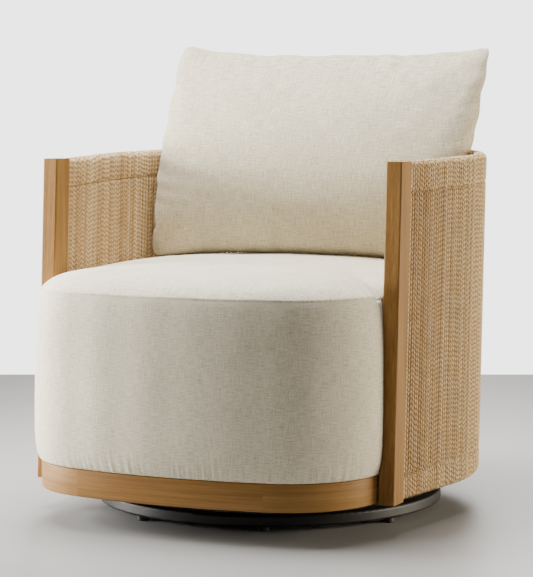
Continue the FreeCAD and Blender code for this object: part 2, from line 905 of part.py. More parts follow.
def dowel_lines():
    """Start and end of the two dowels that join the right post to the rails."""
    for height in (cord_bottom + cord_diameter + bottom_rail_height / 2.0,
                   frame_top - cord_diameter - top_rail_height / 2.0):
        y = post_rear + rake * (height - frame_bottom)
        x = post_outer_face - post_width / 2.0
        yield vec(x, y - dowel_length / 2.0, height), vec(x, y + dowel_length / 2.0, height)


def dowel_room():
    radius = dowel_radius + seat_gap / 2.0
    return [rod(radius, start - vec(0.0, past, 0.0), end + vec(0.0, past, 0.0))
            for start, end in dowel_lines()]


def make_post():
    post = post_shape(0.0)
    long_edges = [e for e in post.Edges if e.BoundBox.ZLength > frame_top / 2.0]
    post = post.makeFillet(post_rounding, long_edges)
    return post.cut(dowel_room())


def make_dowels():
    right = [rod(dowel_radius, start, end) for start, end in dowel_lines()]
    return Part.makeCompound(right + [mirrored(dowel) for dowel in right])


def rail_band():
    return barrel_band(rail_in, rail_out, post_rear + seat_gap)


def with_joints(rail):
    right = dowel_room()
    left = [mirrored(hole) for hole in right]
    return rail.cut(right + left + frame_bolt_room(frame_bolt_radius + seat_gap))


def make_top_rail():
    drop = cord_diameter + seat_gap
    tall = leaning(rail_band(), frame_top - 2.0 * top_rail_height, frame_top + top_rail_height)
    rail = tall.common(under_arm_top(drop)).cut(under_arm_top(drop + top_rail_height))
    return with_joints(rail)


def make_bottom_rail():
    low = cord_bottom + cord_diameter + seat_gap
    return with_joints(leaning(rail_band(), low, low + bottom_rail_height))


def make_uprights():
    """Hidden uprights between the two rails, inside the cord."""
    low = cord_bottom + cord_diameter + bottom_rail_height + 2.0 * seat_gap
    tall = leaning(rail_band(), low, frame_top + top_rail_height)
    tall = tall.common(under_arm_top(cord_diameter + top_rail_height + 2.0 * seat_gap))
    half = upright_width / 2.0
    pieces = []
    for angle in upright_angles:
        slab = block(0.0, big, -half, half, 0.0, big)
        slab.rotate(vec(0.0, 0.0, 0.0), vec(0.0, 0.0, 1.0), angle)
        slab.translate(vec(0.0, barrel_plan(0.0)[0], 0.0))
        pieces.extend(tall.common(slab).Solids)
    arms = block(-big, big, arm_upright_place - half, arm_upright_place + half, 0.0, big)
    pieces.extend(tall.common(arms).Solids)
    return Part.makeCompound(pieces)


def cord_sleeve():
    """The whole cord covering: a hollow sleeve round the rails and uprights."""
    outer = leaning(barrel_band(0.0, wall, post_rear + seat_gap), cord_bottom, frame_top + arm_climb)
    outer = outer.common(under_arm_top(0.0))
    long_edges = [e for e in outer.Edges if e.BoundBox.ZLength < frame_top / 2.0
                  and max(e.BoundBox.XLength, e.BoundBox.YLength) > 2.0 * wall]
    outer = outer.makeFillet(wrap_rounding, long_edges)
    room = leaning(barrel_band(cord_diameter, wall - cord_diameter, post_rear - cord_diameter),
                   cord_bottom + cord_diameter, frame_top + arm_climb)
    sleeve = outer.cut(room.common(under_arm_top(cord_diameter)))
    return sleeve.cut(frame_bolt_room(frame_bolt_radius + seat_gap))


def cord_part(sleeve, x0, x1, y0, y1):
    return sleeve.common(block(x0, x1, y0, y1, 0.0, big))


def make_frame_bolts():
    bolts = []
    for start, end in frame_bolt_lines():
        way = (end - start).normalize()
        under = start - way * seat_gap
        head = rod(frame_bolt_head_radius, under - way * frame_bolt_head, under)
        bolts.append(head.fuse(rod(frame_bolt_radius, under, end)).removeSplitter())
    return Part.makeCompound(bolts)


def make_frame_spacers():
    """Sleeves on the frame bolts, between the plinth and the cord."""
    tubes = []
    plinth = raised(drum_face(seat_gap), 0.0, big)
    barrel = leaning(barrel_inside(wall + seat_gap, post_rear), 0.0, 2.0 * plinth_top)
    for start, end in frame_bolt_lines():
        way = (end - start).normalize()
        tube = rod(spacer_radius, start, end).cut(rod(frame_bolt_radius + seat_gap, start - way, end + way))
        tubes.extend(tube.cut(plinth).common(barrel).Solids)
    return Part.makeCompound(tubes)


# Back cushion

def cushion_point(across, up, side, shrink):
    """Point of the cushion's front or back skin, laid flat. Across and up run from -1 to 1
    between its seams, and the top edge dips between two ears."""
    inset = cushion_edge_inset * shrink
    half = cushion_half_width - cushion_side_dip * (1.0 - up * up) - inset
    low = cushion_bottom + inset
    high = cushion_top_middle + (cushion_top_ear - cushion_top_middle) * across * across - inset
    swell = ((1.0 - across * across) * (1.0 - up * up)) ** cushion_fullness
    height = cushion_front_bulge if side > 0.0 else cushion_back_bulge
    rise = cushion_seam - shrink + (height - cushion_seam) * swell
    return vec(across * half, low + (high - low) * (up + 1.0) / 2.0, side * rise)


def cushion_skin(side, shrink):
    steps = [-math.cos(math.pi * i / cushion_spans) for i in range(cushion_spans + 1)]
    skin = Part.BSplineSurface()
    skin.interpolate([[cushion_point(across, up, side, shrink) for up in steps] for across in steps])
    return skin.toShape()


def cushion_form(shrink):
    front = cushion_skin(1.0, shrink)
    back = cushion_skin(-1.0, shrink)
    seams = [Part.makeRuledSurface(a, b) for a, b in zip(front.Edges, back.Edges)]
    shell = Part.makeShell([front, back] + seams)
    shell.sewShape()
    pillow = Part.makeSolid(shell)
    pillow.rotate(vec(0.0, 0.0, 0.0), vec(1.0, 0.0, 0.0), 90.0 - cushion_lean)
    pillow.translate(vec(0.0, cushion_foot_back, cushion_foot_height))
    seat = post_of(big / 2.0, 0.0, big).common(crown_cap(-soft_gap - shrink))
    return pillow.cut(frame_room(soft_gap + shrink)).cut(seat)


def make_cushion_cover():
    return cushion_form(0.0).cut(cushion_form(cushion_cover))


def make_cushion_fill():
    return cushion_form(cushion_cover + seat_gap)


def build():
    """Every sub-part by name."""
    sleeve = cord_sleeve()
    post = make_post()
    bracket = make_rocker_bracket()
    pin = make_rock_pin()
    hanger = make_hanger()
    hanger_bushing = make_hanger_bushing()
    rail_y = cross_rail_spacing / 2.0
    parts = {
        "base_ring": make_base_ring(),
        "base_glides": make_glides(),
        "base_cross_bar": make_cross_bar(),
        "base_cross_bar_halves": make_cross_bar_halves(),
        "hub_plate": make_hub_plate(),
        "lower_bearing_race": make_lower_race(),
        "lower_race_screws": make_lower_race_screws(),
        "king_bolt": make_king_bolt(),
        "king_nut": make_king_nut(),
        "king_washer": make_king_washer(),
        "ball_cage": make_ball_cage(),
        "bearing_balls": make_bearing_balls(),
        "upper_bearing_race": make_upper_race(),
        "upper_race_screws": make_upper_race_screws(),
        "carriage_plate": make_carriage_plate(),
        "king_bushing": make_king_bushing(),
        "rocker_bracket_right": bracket,
        "rocker_bracket_left": mirrored(bracket),
        "rock_pin_right": pin,
        "rock_pin_left": mirrored(pin),
        "lower_spring_cups": make_lower_spring_cups(),
        "rock_spring_front_left": make_rock_spring(-spring_across, -spring_along),
        "rock_spring_front_right": make_rock_spring(spring_across, -spring_along),
        "rock_spring_rear_left": make_rock_spring(-spring_across, spring_along),
        "rock_spring_rear_right": make_rock_spring(spring_across, spring_along),
        "hanger_right": hanger,
        "hanger_left": mirrored(hanger),
        "hanger_bushing_right": hanger_bushing,
        "hanger_bushing_left": mirrored(hanger_bushing),
        "upper_spring_cups": make_upper_spring_cups(),
        "top_plate": make_top_plate(),
        "plate_bolts": make_plate_bolts(),
        "cross_rail_front": make_cross_rail(-rail_y),
        "cross_rail_rear": make_cross_rail(rail_y),
        "plinth": make_plinth(),
        "drum_wall": make_drum_wall(),
        "corner_blocks": make_corner_blocks(),
        "deck_frame": make_deck_frame(),
        "deck_springs": make_deck_springs(),
        "spring_clips": make_spring_clips(),
        "seat_foam": make_seat_foam(),
        "side_padding": make_side_padding(),
        "rim_padding": make_rim_padding(),
        "seat_cover": make_seat_cover(),
        "dust_cover": make_dust_cover(),
        "front_post_right": post,
        "front_post_left": mirrored(post),
        "post_dowels": make_dowels(),
        "top_rail": make_top_rail(),
        "bottom_rail": make_bottom_rail(),
        "frame_uprights": make_uprights(),
        "frame_bolts": make_frame_bolts(),
        "frame_spacers": make_frame_spacers(),
        "cord_wrap_right": cord_part(sleeve, 0.0, big, -big, wrap_split),
        "cord_wrap_left": cord_part(sleeve, -big, 0.0, -big, wrap_split),
        "cord_wrap_back": cord_part(sleeve, -big, big, wrap_split, big),
        "back_cushion_cover": make_cushion_cover(),
        "back_cushion_fill": make_cushion_fill(),
    }
    return parts


def main():
    os.makedirs("parts", exist_ok=True)
    for name, shape in build().items():
        shape.exportStep("parts/" + name + ".step")
        box = shape.BoundBox
        print("%-26s solids %2d valid %s vol %.0f  x %.1f..%.1f y %.1f..%.1f z %.1f..%.1f" % (
            name, len(shape.Solids), shape.isValid(), shape.Volume,
            box.XMin, box.XMax, box.YMin, box.YMax, box.ZMin, box.ZMax))


main()
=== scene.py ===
import json
import math

import bmesh
import bpy
import numpy as np
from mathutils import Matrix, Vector
from mathutils.bvhtree import BVHTree


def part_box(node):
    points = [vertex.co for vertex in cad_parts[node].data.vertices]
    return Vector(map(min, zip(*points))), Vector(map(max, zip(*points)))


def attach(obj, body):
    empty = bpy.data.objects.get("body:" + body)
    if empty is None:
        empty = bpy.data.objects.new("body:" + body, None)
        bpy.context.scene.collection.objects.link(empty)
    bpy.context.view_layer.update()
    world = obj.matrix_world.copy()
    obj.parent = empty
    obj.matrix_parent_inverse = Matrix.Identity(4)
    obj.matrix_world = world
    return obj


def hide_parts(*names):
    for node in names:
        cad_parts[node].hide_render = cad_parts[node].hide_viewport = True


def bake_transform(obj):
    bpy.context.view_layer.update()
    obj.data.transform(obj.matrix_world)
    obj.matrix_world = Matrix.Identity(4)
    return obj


# A swivel rocker with a cord-wrapped barrel frame, an upholstered drum seat and a loose back cushion.
# Shapes are worked out in millimetres and turned into metres where a mesh is made.

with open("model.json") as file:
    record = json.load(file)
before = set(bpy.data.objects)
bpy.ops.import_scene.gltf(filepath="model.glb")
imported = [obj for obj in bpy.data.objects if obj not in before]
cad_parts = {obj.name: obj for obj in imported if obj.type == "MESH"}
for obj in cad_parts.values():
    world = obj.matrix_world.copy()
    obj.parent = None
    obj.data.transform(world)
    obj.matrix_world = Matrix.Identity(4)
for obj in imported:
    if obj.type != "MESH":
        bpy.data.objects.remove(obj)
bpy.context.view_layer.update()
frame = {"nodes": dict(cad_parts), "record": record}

MM = 0.001
draw = np.random.default_rng(41)


def node_box(name):
    """Lowest and highest corner of a CAD node, in millimetres."""
    low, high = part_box(name)
    return np.array(low) / MM, np.array(high) / MM


plinth_low, plinth_high = node_box("plinth")
post_low, post_high = node_box("front_post_right")

# Seat drum and plinth, seen from above
HALF_WIDTH = plinth_high[0]
FRONT_RADIUS = 920.0
CORNER_RADIUS = 160.0
REAR_CENTRE = -20.0
PLINTH_WALL = 22.0
MIDDLE_Y = -80.0          # the seat's middle, from which its outline is measured
REACH_LIMIT = 700.0       # farther from the middle than any edge
REACH_STEPS = 28
FRONT_CENTRE = FRONT_RADIUS + plinth_low[1]
CORNER_X = HALF_WIDTH - CORNER_RADIUS
CORNER_Y = FRONT_CENTRE - math.sqrt((FRONT_RADIUS - CORNER_RADIUS) ** 2 - CORNER_X ** 2)
CORNER_TURN = math.atan2(CORNER_Y - FRONT_CENTRE, CORNER_X)

# Posts and barrel
RAKE = math.tan(math.radians(3.17))       # how far back the frame leans, by height
ARM_RISE = math.tan(math.radians(1.66))   # how far the arms rise towards the back
ARM_FLARE = math.radians(8.15)
BARREL_RADIUS = 369.0
POST_DEPTH = 46.0
WRAP_INSET = 1.0          # how far the cord lies inside the posts' outer face
CORD = 6.0                # depth of the layer of cord on the frame
POST_OUTER = post_high[0]
POST_INNER = post_low[0]
FRAME_LOW = post_low[2]
FRAME_TOP = post_high[2]
POST_FRONT = post_low[1]
POST_REAR = POST_FRONT + POST_DEPTH
BARREL_WALL = POST_OUTER - POST_INNER - 2.0 * WRAP_INSET
BARREL_START = POST_OUTER - WRAP_INSET
BARREL_CENTRE = POST_REAR + (BARREL_RADIUS - BARREL_START * math.cos(ARM_FLARE)) / math.sin(ARM_FLARE)
ARM_FRONT = POST_REAR + RAKE * (FRAME_TOP - FRAME_LOW)


# Plan curves

def inside_drum(x, y, grow):
    """Whether points lie inside the seat's D outline, grown by an offset."""
    x = np.abs(x)
    inside = (np.hypot(x, y - FRONT_CENTRE) < FRONT_RADIUS + grow) & (x < HALF_WIDTH + grow)
    inside &= (y < REAR_CENTRE) | (np.hypot(x, y - REAR_CENTRE) < HALF_WIDTH + grow)
    turn = np.arctan2(y - CORNER_Y, x - CORNER_X)
    corner = (x > CORNER_X) & (y < CORNER_Y) & (turn > CORNER_TURN)
    return inside & (~corner | (np.hypot(x - CORNER_X, y - CORNER_Y) < CORNER_RADIUS + grow))


def lean(z):
    """How far the raked frame has moved back at a height."""
    return RAKE * (z - FRAME_LOW)


def barrel_half_width(inward, y):
    """Half width of the barrel's plan, moved inward from its outer face, before it leans."""
    radius = BARREL_RADIUS - inward
    flare = (radius - (BARREL_CENTRE - y) * math.sin(ARM_FLARE)) / math.cos(ARM_FLARE)
    round_part = np.sqrt(np.maximum(radius ** 2 - (y - BARREL_CENTRE) ** 2, 0.0))
    return np.where(y < BARREL_CENTRE - radius * math.sin(ARM_FLARE), flare, round_part)


def inside_barrel(x, y, z, inward):
    return np.abs(x) < barrel_half_width(inward, y - lean(z))


def barrel_line(inward, start_y, places):
    """Points along the barrel's plan, from the right arm's front round to the left arm's,
    at places from 0 to 1 of its length."""
    radius = BARREL_RADIUS - inward
    tangent_y = BARREL_CENTRE - radius * math.sin(ARM_FLARE)
    arm = (tangent_y - start_y) / math.cos(ARM_FLARE)
    length = 2.0 * arm + radius * (math.pi + 2.0 * ARM_FLARE)
    along = np.asarray(places) * length
    mirror = along > length / 2.0
    along = np.where(mirror, length - along, along)
    angle = -ARM_FLARE + np.maximum(along - arm, 0.0) / radius
    short = np.maximum(arm - along, 0.0)
    x = radius * np.cos(angle) - short * math.sin(ARM_FLARE)
    y = BARREL_CENTRE + radius * np.sin(angle) - short * math.cos(ARM_FLARE)
    return np.where(mirror, -x, x), y, length


def arm_top(plan_y):
    """Height of the arm's top face over a point of the barrel's plan."""
    rise = plan_y - RAKE * FRAME_LOW - ARM_FRONT
    return (FRAME_TOP + ARM_RISE * rise) / (1.0 - ARM_RISE * RAKE)


def smooth(value, start, end):
    """0 before start, 1 after end, and an even curve between."""
    t = np.clip((value - start) / (end - start), 0.0, 1.0)
    return t * t * (3.0 - 2.0 * t)


def walk(line):
    """Length walked along a line of points, from 0 at the first."""
    return np.concatenate([[0.0], np.cumsum(np.linalg.norm(np.diff(line, axis=0), axis=1))])


# Meshes

def grid_piece(name, grids, wrap_rows, wrap_columns):
    """Object made of grids of points, each [row, column, xyz] with its own UV grid, which has
    one more row or column where the grid wraps round."""
    points = []
    faces = []
    corners = []
    start = 0
    for grid, uv in grids:
        rows, columns = grid.shape[:2]
        row = np.arange(rows if wrap_rows else rows - 1)
        column = np.arange(columns if wrap_columns else columns - 1)
        row, column = [a.ravel() for a in np.meshgrid(row, column, indexing="ij")]
        up = (row + 1) % rows
        side = (column + 1) % columns
        quads = [row * columns + column, row * columns + side, up * columns + side, up * columns + column]
        places = [uv[row, column], uv[row, column + 1], uv[row + 1, column + 1], uv[row + 1, column]]
        points.append(grid.reshape(-1, 3))
        faces.append(np.stack(quads, axis=-1) + start)
        corners.append(np.stack(places, axis=1))
        start += rows * columns
    return mesh_piece(name, np.concatenate(points), np.concatenate(faces), np.concatenate(corners))


def mesh_piece(name, points, faces, corners):
    """Object with smooth faces and one UV map, from points in millimetres."""
    mesh = bpy.data.meshes.new(name)
    mesh.from_pydata((points * MM).tolist(), [], faces.tolist())
    layer = mesh.uv_layers.new(name="UVMap")
    layer.data.foreach_set("uv", corners.reshape(-1).astype(np.float32))
    mesh.polygons.foreach_set("use_smooth", [True] * len(mesh.polygons))
    mesh.update()
    piece = bpy.data.objects.new(name, mesh)
    bpy.context.scene.collection.objects.link(piece)
    return piece


def give_tone(piece, values):
    """Stores a shade from 0 to 1 at each point, which the finish reads."""
    tone = piece.data.attributes.new("tone", "FLOAT", "POINT")
    tone.data.foreach_set("value", values.astype(np.float32))


def wander(length, waves, amplitude, wavelength):
    """Soft seeded wave along a length, repeating at its end."""
    total = np.zeros_like(length)
    end = length.max()
    for step in range(waves):
        count = max(1, round(end / (wavelength * draw.uniform(0.6, 1.7))))
        total += draw.uniform(0.5, 1.0) * np.sin(2.0 * math.pi * (count * length / end + draw.random()))
    return amplitude * total / math.sqrt(waves)


# Cord

CORD_PITCH = 7.8          # along the barrel's outer face, with its thin gaps
CORD_SIDES = 10
CORD_BEND = 9.5           # radius of the cord's own line where it turns over a rail
CORD_BEND_STEPS = 5
CORD_STRAIGHT_STEPS = 5
CORD_POST_GAP = 0.3
CORD_ON_RAIL = (3.85, 2.9)   # half width and half thickness where it is pressed on a rail
CORD_FREE = (2.95, 2.6)      # and where it is stretched between the rails
CORD_PINCH = 0.27            # share of its width that the binding at a rail's edge takes
CORD_SIZES = (0.96, 1.0)     # thinnest and thickest turn
CORD_DRIFT = 0.3          # how far a turn strays from its place
CORD_DRIFT_WAVE = (60.0, 120.0)
CORD_SPREAD = 0.6         # how far it is pushed aside between the rails
CORD_TUCK = 2.9           # how far it is drawn in by the binding at a rail's edge
CORD_TUCK_SHARES = (0.6, 1.2)
CORD_TUCK_WIDTH = 3.2
CORD_LIFT = (3.0, 7.0)    # height over which a turn leaves the rail, below and above its edge
CORD_NEAR = np.array([-7.0, -3.5, -1.5, 0.0, 1.5, 3.5, 7.0])   # points close to a rail's edge
CORD_FREE_START = 12.0
CORD_PHASE_STEP = 1.0     # mm along the cord by which one turn's strands lag the next one's
CORD_PHASE_LEAN = 0.1     # and how much of that is always the same way
CORD_PHASE_JUMP = 0.09    # share of turns that start the pattern afresh
CORD_TURNOVER = 0.5       # share of turns whose strands slant the other way from the last one's
TOP_BAND = 51.0           # height of the dense band of cord on each rail
BOTTOM_BAND = 44.0
WRAP_SPLIT = 45.0         # where the back's cord begins, along the barrel
CORD_LAY = 16.4           # mm along the cord for a full turn of its two strands
CORD_SWAYS = 6            # long waves that carry the strands up and down over many turns
CORD_SWAY_RISE = (0.02, 0.07)    # radians for each mm of height
CORD_SWAY_RUN = (-0.05, 0.05)    # radians for each mm along the barrel
CORD_SWAY_SIZE = (1.0, 2.4)
CORD_SWAY_ON_RAIL = 0.25
CORD_TONE = (0.5, 0.16)   # middle and spread of the turns' own shades
ANY_PHASE = 6.3           # radians; start of a seeded wave


def turn_route(top):
    """One turn's line, as distance in from the outer cord line and height."""
    across = BARREL_WALL - CORD
    low = FRAME_LOW + CORD / 2.0
    high = top - CORD / 2.0
    lower_edge = FRAME_LOW + BOTTOM_BAND
    upper_edge = top - TOP_BAND
    free = np.linspace(lower_edge + CORD_FREE_START, upper_edge - CORD_FREE_START, CORD_STRAIGHT_STEPS)
    rise = np.concatenate([lower_edge + CORD_NEAR, free, upper_edge + CORD_NEAR])
    route = [(0.0, z) for z in rise]
    corners = [(0.0, high, 1.0, -1.0, math.pi), (across, high, -1.0, -1.0, math.pi / 2.0),
               (across, low, -1.0, 1.0, 0.0), (0.0, low, 1.0, 1.0, -math.pi / 2.0)]
    for w, z, way_w, way_z, start in corners:
        for angle in start - np.linspace(0.0, math.pi / 2.0, CORD_BEND_STEPS):
            route.append((w + CORD_BEND * (way_w + math.cos(angle)),
                          z + CORD_BEND * (way_z + math.sin(angle))))
        if w > 0.0 and way_z < 0.0:
            route.extend((across, z_place) for z_place in rise[::-1])
    return np.array(route)


def turn_tube(outer, inner):
    """One turn's tube as a grid of points, with its line's heights, how free it is between the
    rails at each, and the length walked along it."""
    inward = (inner - outer) / np.linalg.norm(inner - outer)
    along = np.array([inward[1], -inward[0], 0.0])
    top = float(arm_top(outer[1]))
    route = turn_route(top)
    height = route[:, 1]
    share = route[:, :1] / (BARREL_WALL - CORD)
    plan = outer * (1.0 - share) + inner * share
    centre = np.column_stack([plan[:, 0], plan[:, 1] + lean(height), height])
    upper_edge = top - TOP_BAND
    lower_edge = FRAME_LOW + BOTTOM_BAND
    bound = sum(np.exp(-((height - edge) / CORD_TUCK_WIDTH) ** 2) for edge in (upper_edge, lower_edge))
    face = np.where(share[:, 0] < 0.5, 1.0, -1.0)
    centre[:, :2] += (CORD_TUCK * draw.uniform(*CORD_TUCK_SHARES) * bound * face)[:, None] * inward
    below, above = CORD_LIFT
    free = smooth(height, lower_edge - below, lower_edge + above)
    free = free * (1.0 - smooth(height, upper_edge - above, upper_edge + below))
    drift = CORD_DRIFT * np.sin(height / draw.uniform(*CORD_DRIFT_WAVE) + draw.uniform(0.0, ANY_PHASE))
    drift += draw.normal(0.0, CORD_SPREAD) * free
    centre += drift[:, None] * along
    ahead = np.roll(centre, -1, axis=0) - np.roll(centre, 1, axis=0)
    ahead /= np.linalg.norm(ahead, axis=1)[:, None]
    out = np.cross(ahead, along)
    size = draw.uniform(*CORD_SIZES)
    wide = size * (CORD_ON_RAIL[0] + (CORD_FREE[0] - CORD_ON_RAIL[0]) * free)
    thick = size * (CORD_ON_RAIL[1] + (CORD_FREE[1] - CORD_ON_RAIL[1]) * free)
    wide = wide * (1.0 - CORD_PINCH * bound)
    angles = np.linspace(0.0, 2.0 * math.pi, CORD_SIDES + 1)[:-1]
    grid = centre[:, None, :] + wide[:, None, None] * np.cos(angles)[None, :, None] * along
    grid += thick[:, None, None] * np.sin(angles)[None, :, None] * out[:, None, :]
    walked = walk(np.vstack([centre, centre[:1]]))
    return grid, np.append(height, height[0]), np.append(free, free[0]), walked


def make_cords():
    """The three cord coverings: closed turns of cord round both rails, side by side."""
    length = barrel_line(0.0, POST_REAR, [0.0])[2]
    count = int((length - CORD) / CORD_PITCH)
    places = (np.arange(count) + 0.5) / count + draw.uniform(-0.5, 0.5, count) * CORD_DRIFT / length
    start_y = POST_REAR + CORD_POST_GAP
    outer_x, outer_y, _ = barrel_line(CORD / 2.0, start_y, places)
    inner_x, inner_y, _ = barrel_line(BARREL_WALL - CORD / 2.0, start_y, places)
    sways = [(draw.uniform(*CORD_SWAY_RISE), draw.uniform(*CORD_SWAY_RUN), draw.uniform(0.0, ANY_PHASE),
              draw.uniform(*CORD_SWAY_SIZE)) for _ in range(CORD_SWAYS)]
    phase = 0.0
    slant = 1.0
    groups = {"left": [], "right": [], "back": []}
    tones = {"left": [], "right": [], "back": []}
    for index in range(count):
        outer = np.array([outer_x[index], outer_y[index]])
        inner = np.array([inner_x[index], inner_y[index]])
        grid, height, free, walked = turn_tube(outer, inner)
        phase += CORD_PHASE_STEP * draw.normal(CORD_PHASE_LEAN, 1.0)
        if draw.random() < CORD_PHASE_JUMP:
            phase += draw.uniform(0.0, CORD_LAY)
        if draw.random() < CORD_TURNOVER:
            slant = -slant
        run = places[index] * length
        sway = sum(size * np.sin(rise_rate * height + run_rate * run + start)
                   for rise_rate, run_rate, start, size in sways)
        lag = phase + sway * (CORD_SWAY_ON_RAIL + (1.0 - CORD_SWAY_ON_RAIL) * free)
        uv = np.zeros((len(walked), CORD_SIDES + 1, 2))
        uv[:, :, 0] = slant * np.arange(CORD_SIDES + 1) / CORD_SIDES
        uv[:, :, 1] = (walked + lag)[:, None] * MM
        side = "back" if outer[1] > WRAP_SPLIT else ("right" if outer[0] > 0.0 else "left")
        groups[side].append((grid, uv))
        tones[side].append(np.full(grid.shape[0] * CORD_SIDES, draw.normal(*CORD_TONE)))
    pieces = []
    for side, grids in groups.items():
        piece = grid_piece("cord_" + side, grids, True, True)
        give_tone(piece, np.clip(np.concatenate(tones[side]), 0.0, 1.0))
        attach(piece, "seat")
        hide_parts("cord_wrap_" + side)
        pieces.append(piece)
    return pieces


# Plinth

PLINTH_EDGE = 2.5
PLINTH_BOARDS = (-62.0, -22.0, 18.0, 62.0, 118.0, 180.0, 242.0)   # degrees round, glue joints
PLINTH_JOINT = 0.12
PLINTH_EDGE_STEPS = 4
BOARD_TONES = (0.3, 0.7)
BOARD_OFFSET = 3000.0     # mm of wood from which each board's grain is picked


def reach(directions, inside):
    """Distance from the seat's middle to the edge of a space, along each direction."""
    near = np.zeros_like(directions)
    far = np.full_like(directions, REACH_LIMIT)
    for step in range(REACH_STEPS):
        middle = (near + far) / 2.0
        within = inside(middle * np.cos(directions), MIDDLE_Y + middle * np.sin(directions))
        near = np.where(within, middle, near)
        far = np.where(within, far, middle)
    return near


def drum_points(directions, grow):
    distance = reach(directions, lambda x, y: inside_drum(x, y, grow))
    return distance * np.cos(directions), MIDDLE_Y + distance * np.sin(directions)


def make_plinth():
    """Ring of glued boards round the foot of the seat, with the grain running along it."""
    low, high = plinth_low[2], plinth_high[2]
    section = []
    for inset, z, way_in, way_z, start in ((0.0, low, 1, 1, 270), (0.0, high, 1, -1, 180),
                                           (PLINTH_WALL, high, -1, -1, 90), (PLINTH_WALL, low, -1, 1, 0)):
        for angle in np.radians(start - np.linspace(0.0, 90.0, PLINTH_EDGE_STEPS)):
            section.append((inset + PLINTH_EDGE * (way_in + math.cos(angle)),
                            z + PLINTH_EDGE * (way_z + math.sin(angle))))
    section = np.array(section)
    grids = []
    tones = []
    joints = list(PLINTH_BOARDS) + [PLINTH_BOARDS[0] + 360.0]
    for first, last in zip(joints[:-1], joints[1:]):
        directions = np.radians(np.linspace(first, last, max(8, int(last - first))))
        outer = drum_points(directions, 0.0)
        inner = drum_points(directions, -PLINTH_WALL)
        share = section[:, 0] / PLINTH_WALL
        grid = np.zeros((len(directions), len(section), 3))
        for axis in (0, 1):
            grid[:, :, axis] = outer[axis][:, None] * (1.0 - share) + inner[axis][:, None] * share
        grid[:, :, 2] = section[:, 1]
        gap = PLINTH_JOINT / 2.0
        for end, ahead in ((0, 1), (-1, -2)):
            way = grid[ahead] - grid[end]
            grid[end] += gap * way / np.linalg.norm(way, axis=1)[:, None]
        travel = walk(np.transpose(outer))
        girth = walk(np.vstack([section, section[:1]]))
        uv = np.zeros((len(directions), len(section) + 1, 2))
        uv[:, :, 0] = (travel[:, None] + draw.uniform(0.0, BOARD_OFFSET)) * MM
        uv[:, :, 1] = (girth + draw.uniform(0.0, BOARD_OFFSET)) * MM
        grids.append((grid, uv))
        tones.append(np.full(grid.shape[0] * grid.shape[1], draw.uniform(*BOARD_TONES)))
    piece = grid_piece("plinth_ring", grids, False, True)
    give_tone(piece, np.concatenate(tones))
    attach(piece, "seat")
    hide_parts("plinth")
    return piece


# Seat cover

SEAT_CROWN = 441.0
SEAT_SEAM = 397.0
# height, and how far the cover stands out there from the plinth's outline
SEAT_BULGE = ((104.9, -3.0), (105.0, 1.0), (106.0, 2.8), (110.0, 4.6), (118.0, 7.4), (128.0, 9.4),
              (140.0, 10.6), (154.0, 11.4), (180.0, 11.5), (219.0, 11.0), (260.0, 10.0), (300.0, 8.8),
              (333.0, 7.2), (348.0, 6.1), (366.0, 4.2), (380.0, 2.4), (388.0, 1.0), (393.0, -0.2))
SEAT_SEAM_OUT = 0.6
SEAT_GIRTH = 2150.0
SEAT_FRONT_COLUMNS = 300
SEAT_REAR_COLUMNS = 220
SEAT_PAD_FILL = (327.0, 339.0)   # heights over which the padding reaches out to the barrel
SEAT_GAP = 0.8
SEAT_SEAM_DEPTH = 2.2
SEAT_SEAM_WIDTH = 1.3
SEAT_SEAM_INSET = 0.2
SEAT_SWAY = 0.8           # slow unevenness of the filled cover
SEAT_SWAY_WAVE = 160.0
HEM_GATHER = 0.6          # small gathers along the stapled hem
HEM_WAVELENGTH = 17.0
HEM_HEIGHTS = (108.0, 140.0)
SEAT_RINGS = (0.0, 1.0, 2.2, 3.6, 5.4, 8.0, 11.0, 15.0, 20.0, 26.0, 34.0, 44.0, 56.0)   # from the seam
SEAT_RIM = 60.0           # the rings inside this one shrink evenly to the middle
SEAT_INNER_RINGS = (70.0, 300.0, 20)
SEAT_POLE = 1.0
SEAT_CORNER_SOFTENING = 14       # columns each way over which the top's outline is evened out
SEAT_CORNER_SPREAD = 60.0
SEAT_SOFT_BY = 26.0              # how far in from the seam it has become the evened one
SEAT_SOFT_LIMIT = 4.0            # and the most that it stands out
SEAT_POST_COLUMNS = (7.0, 1.0)   # columns about a post over which front turns into back
SEAT_SEAM_FADE = (16, 4)         # columns before the left post over which the groove fades
SEAT_DOME = (23.8, 110.0)        # drop at the seam, and how far in it fades
SEAT_FRONT_ROUND = (20.0, 18.0)
SEAT_REAR_ROUND = (9.0, 6.0)
SEAT_LEVEL = (8.0, 60.0)         # from the middle, where the top's unevenness sets in
CREASE_START = (311.0, -250.0)
CREASE_END = (185.0, -100.0)
CREASE_DEPTH = 6.5
CREASE_WIDTH = 11.0
CREASE_WIDEN = 0.8        # share by which it is wider at its end
CREASE_SET_IN = (-10.0, 4.0)
CREASE_FADE = 0.25        # share of its length after which it fades


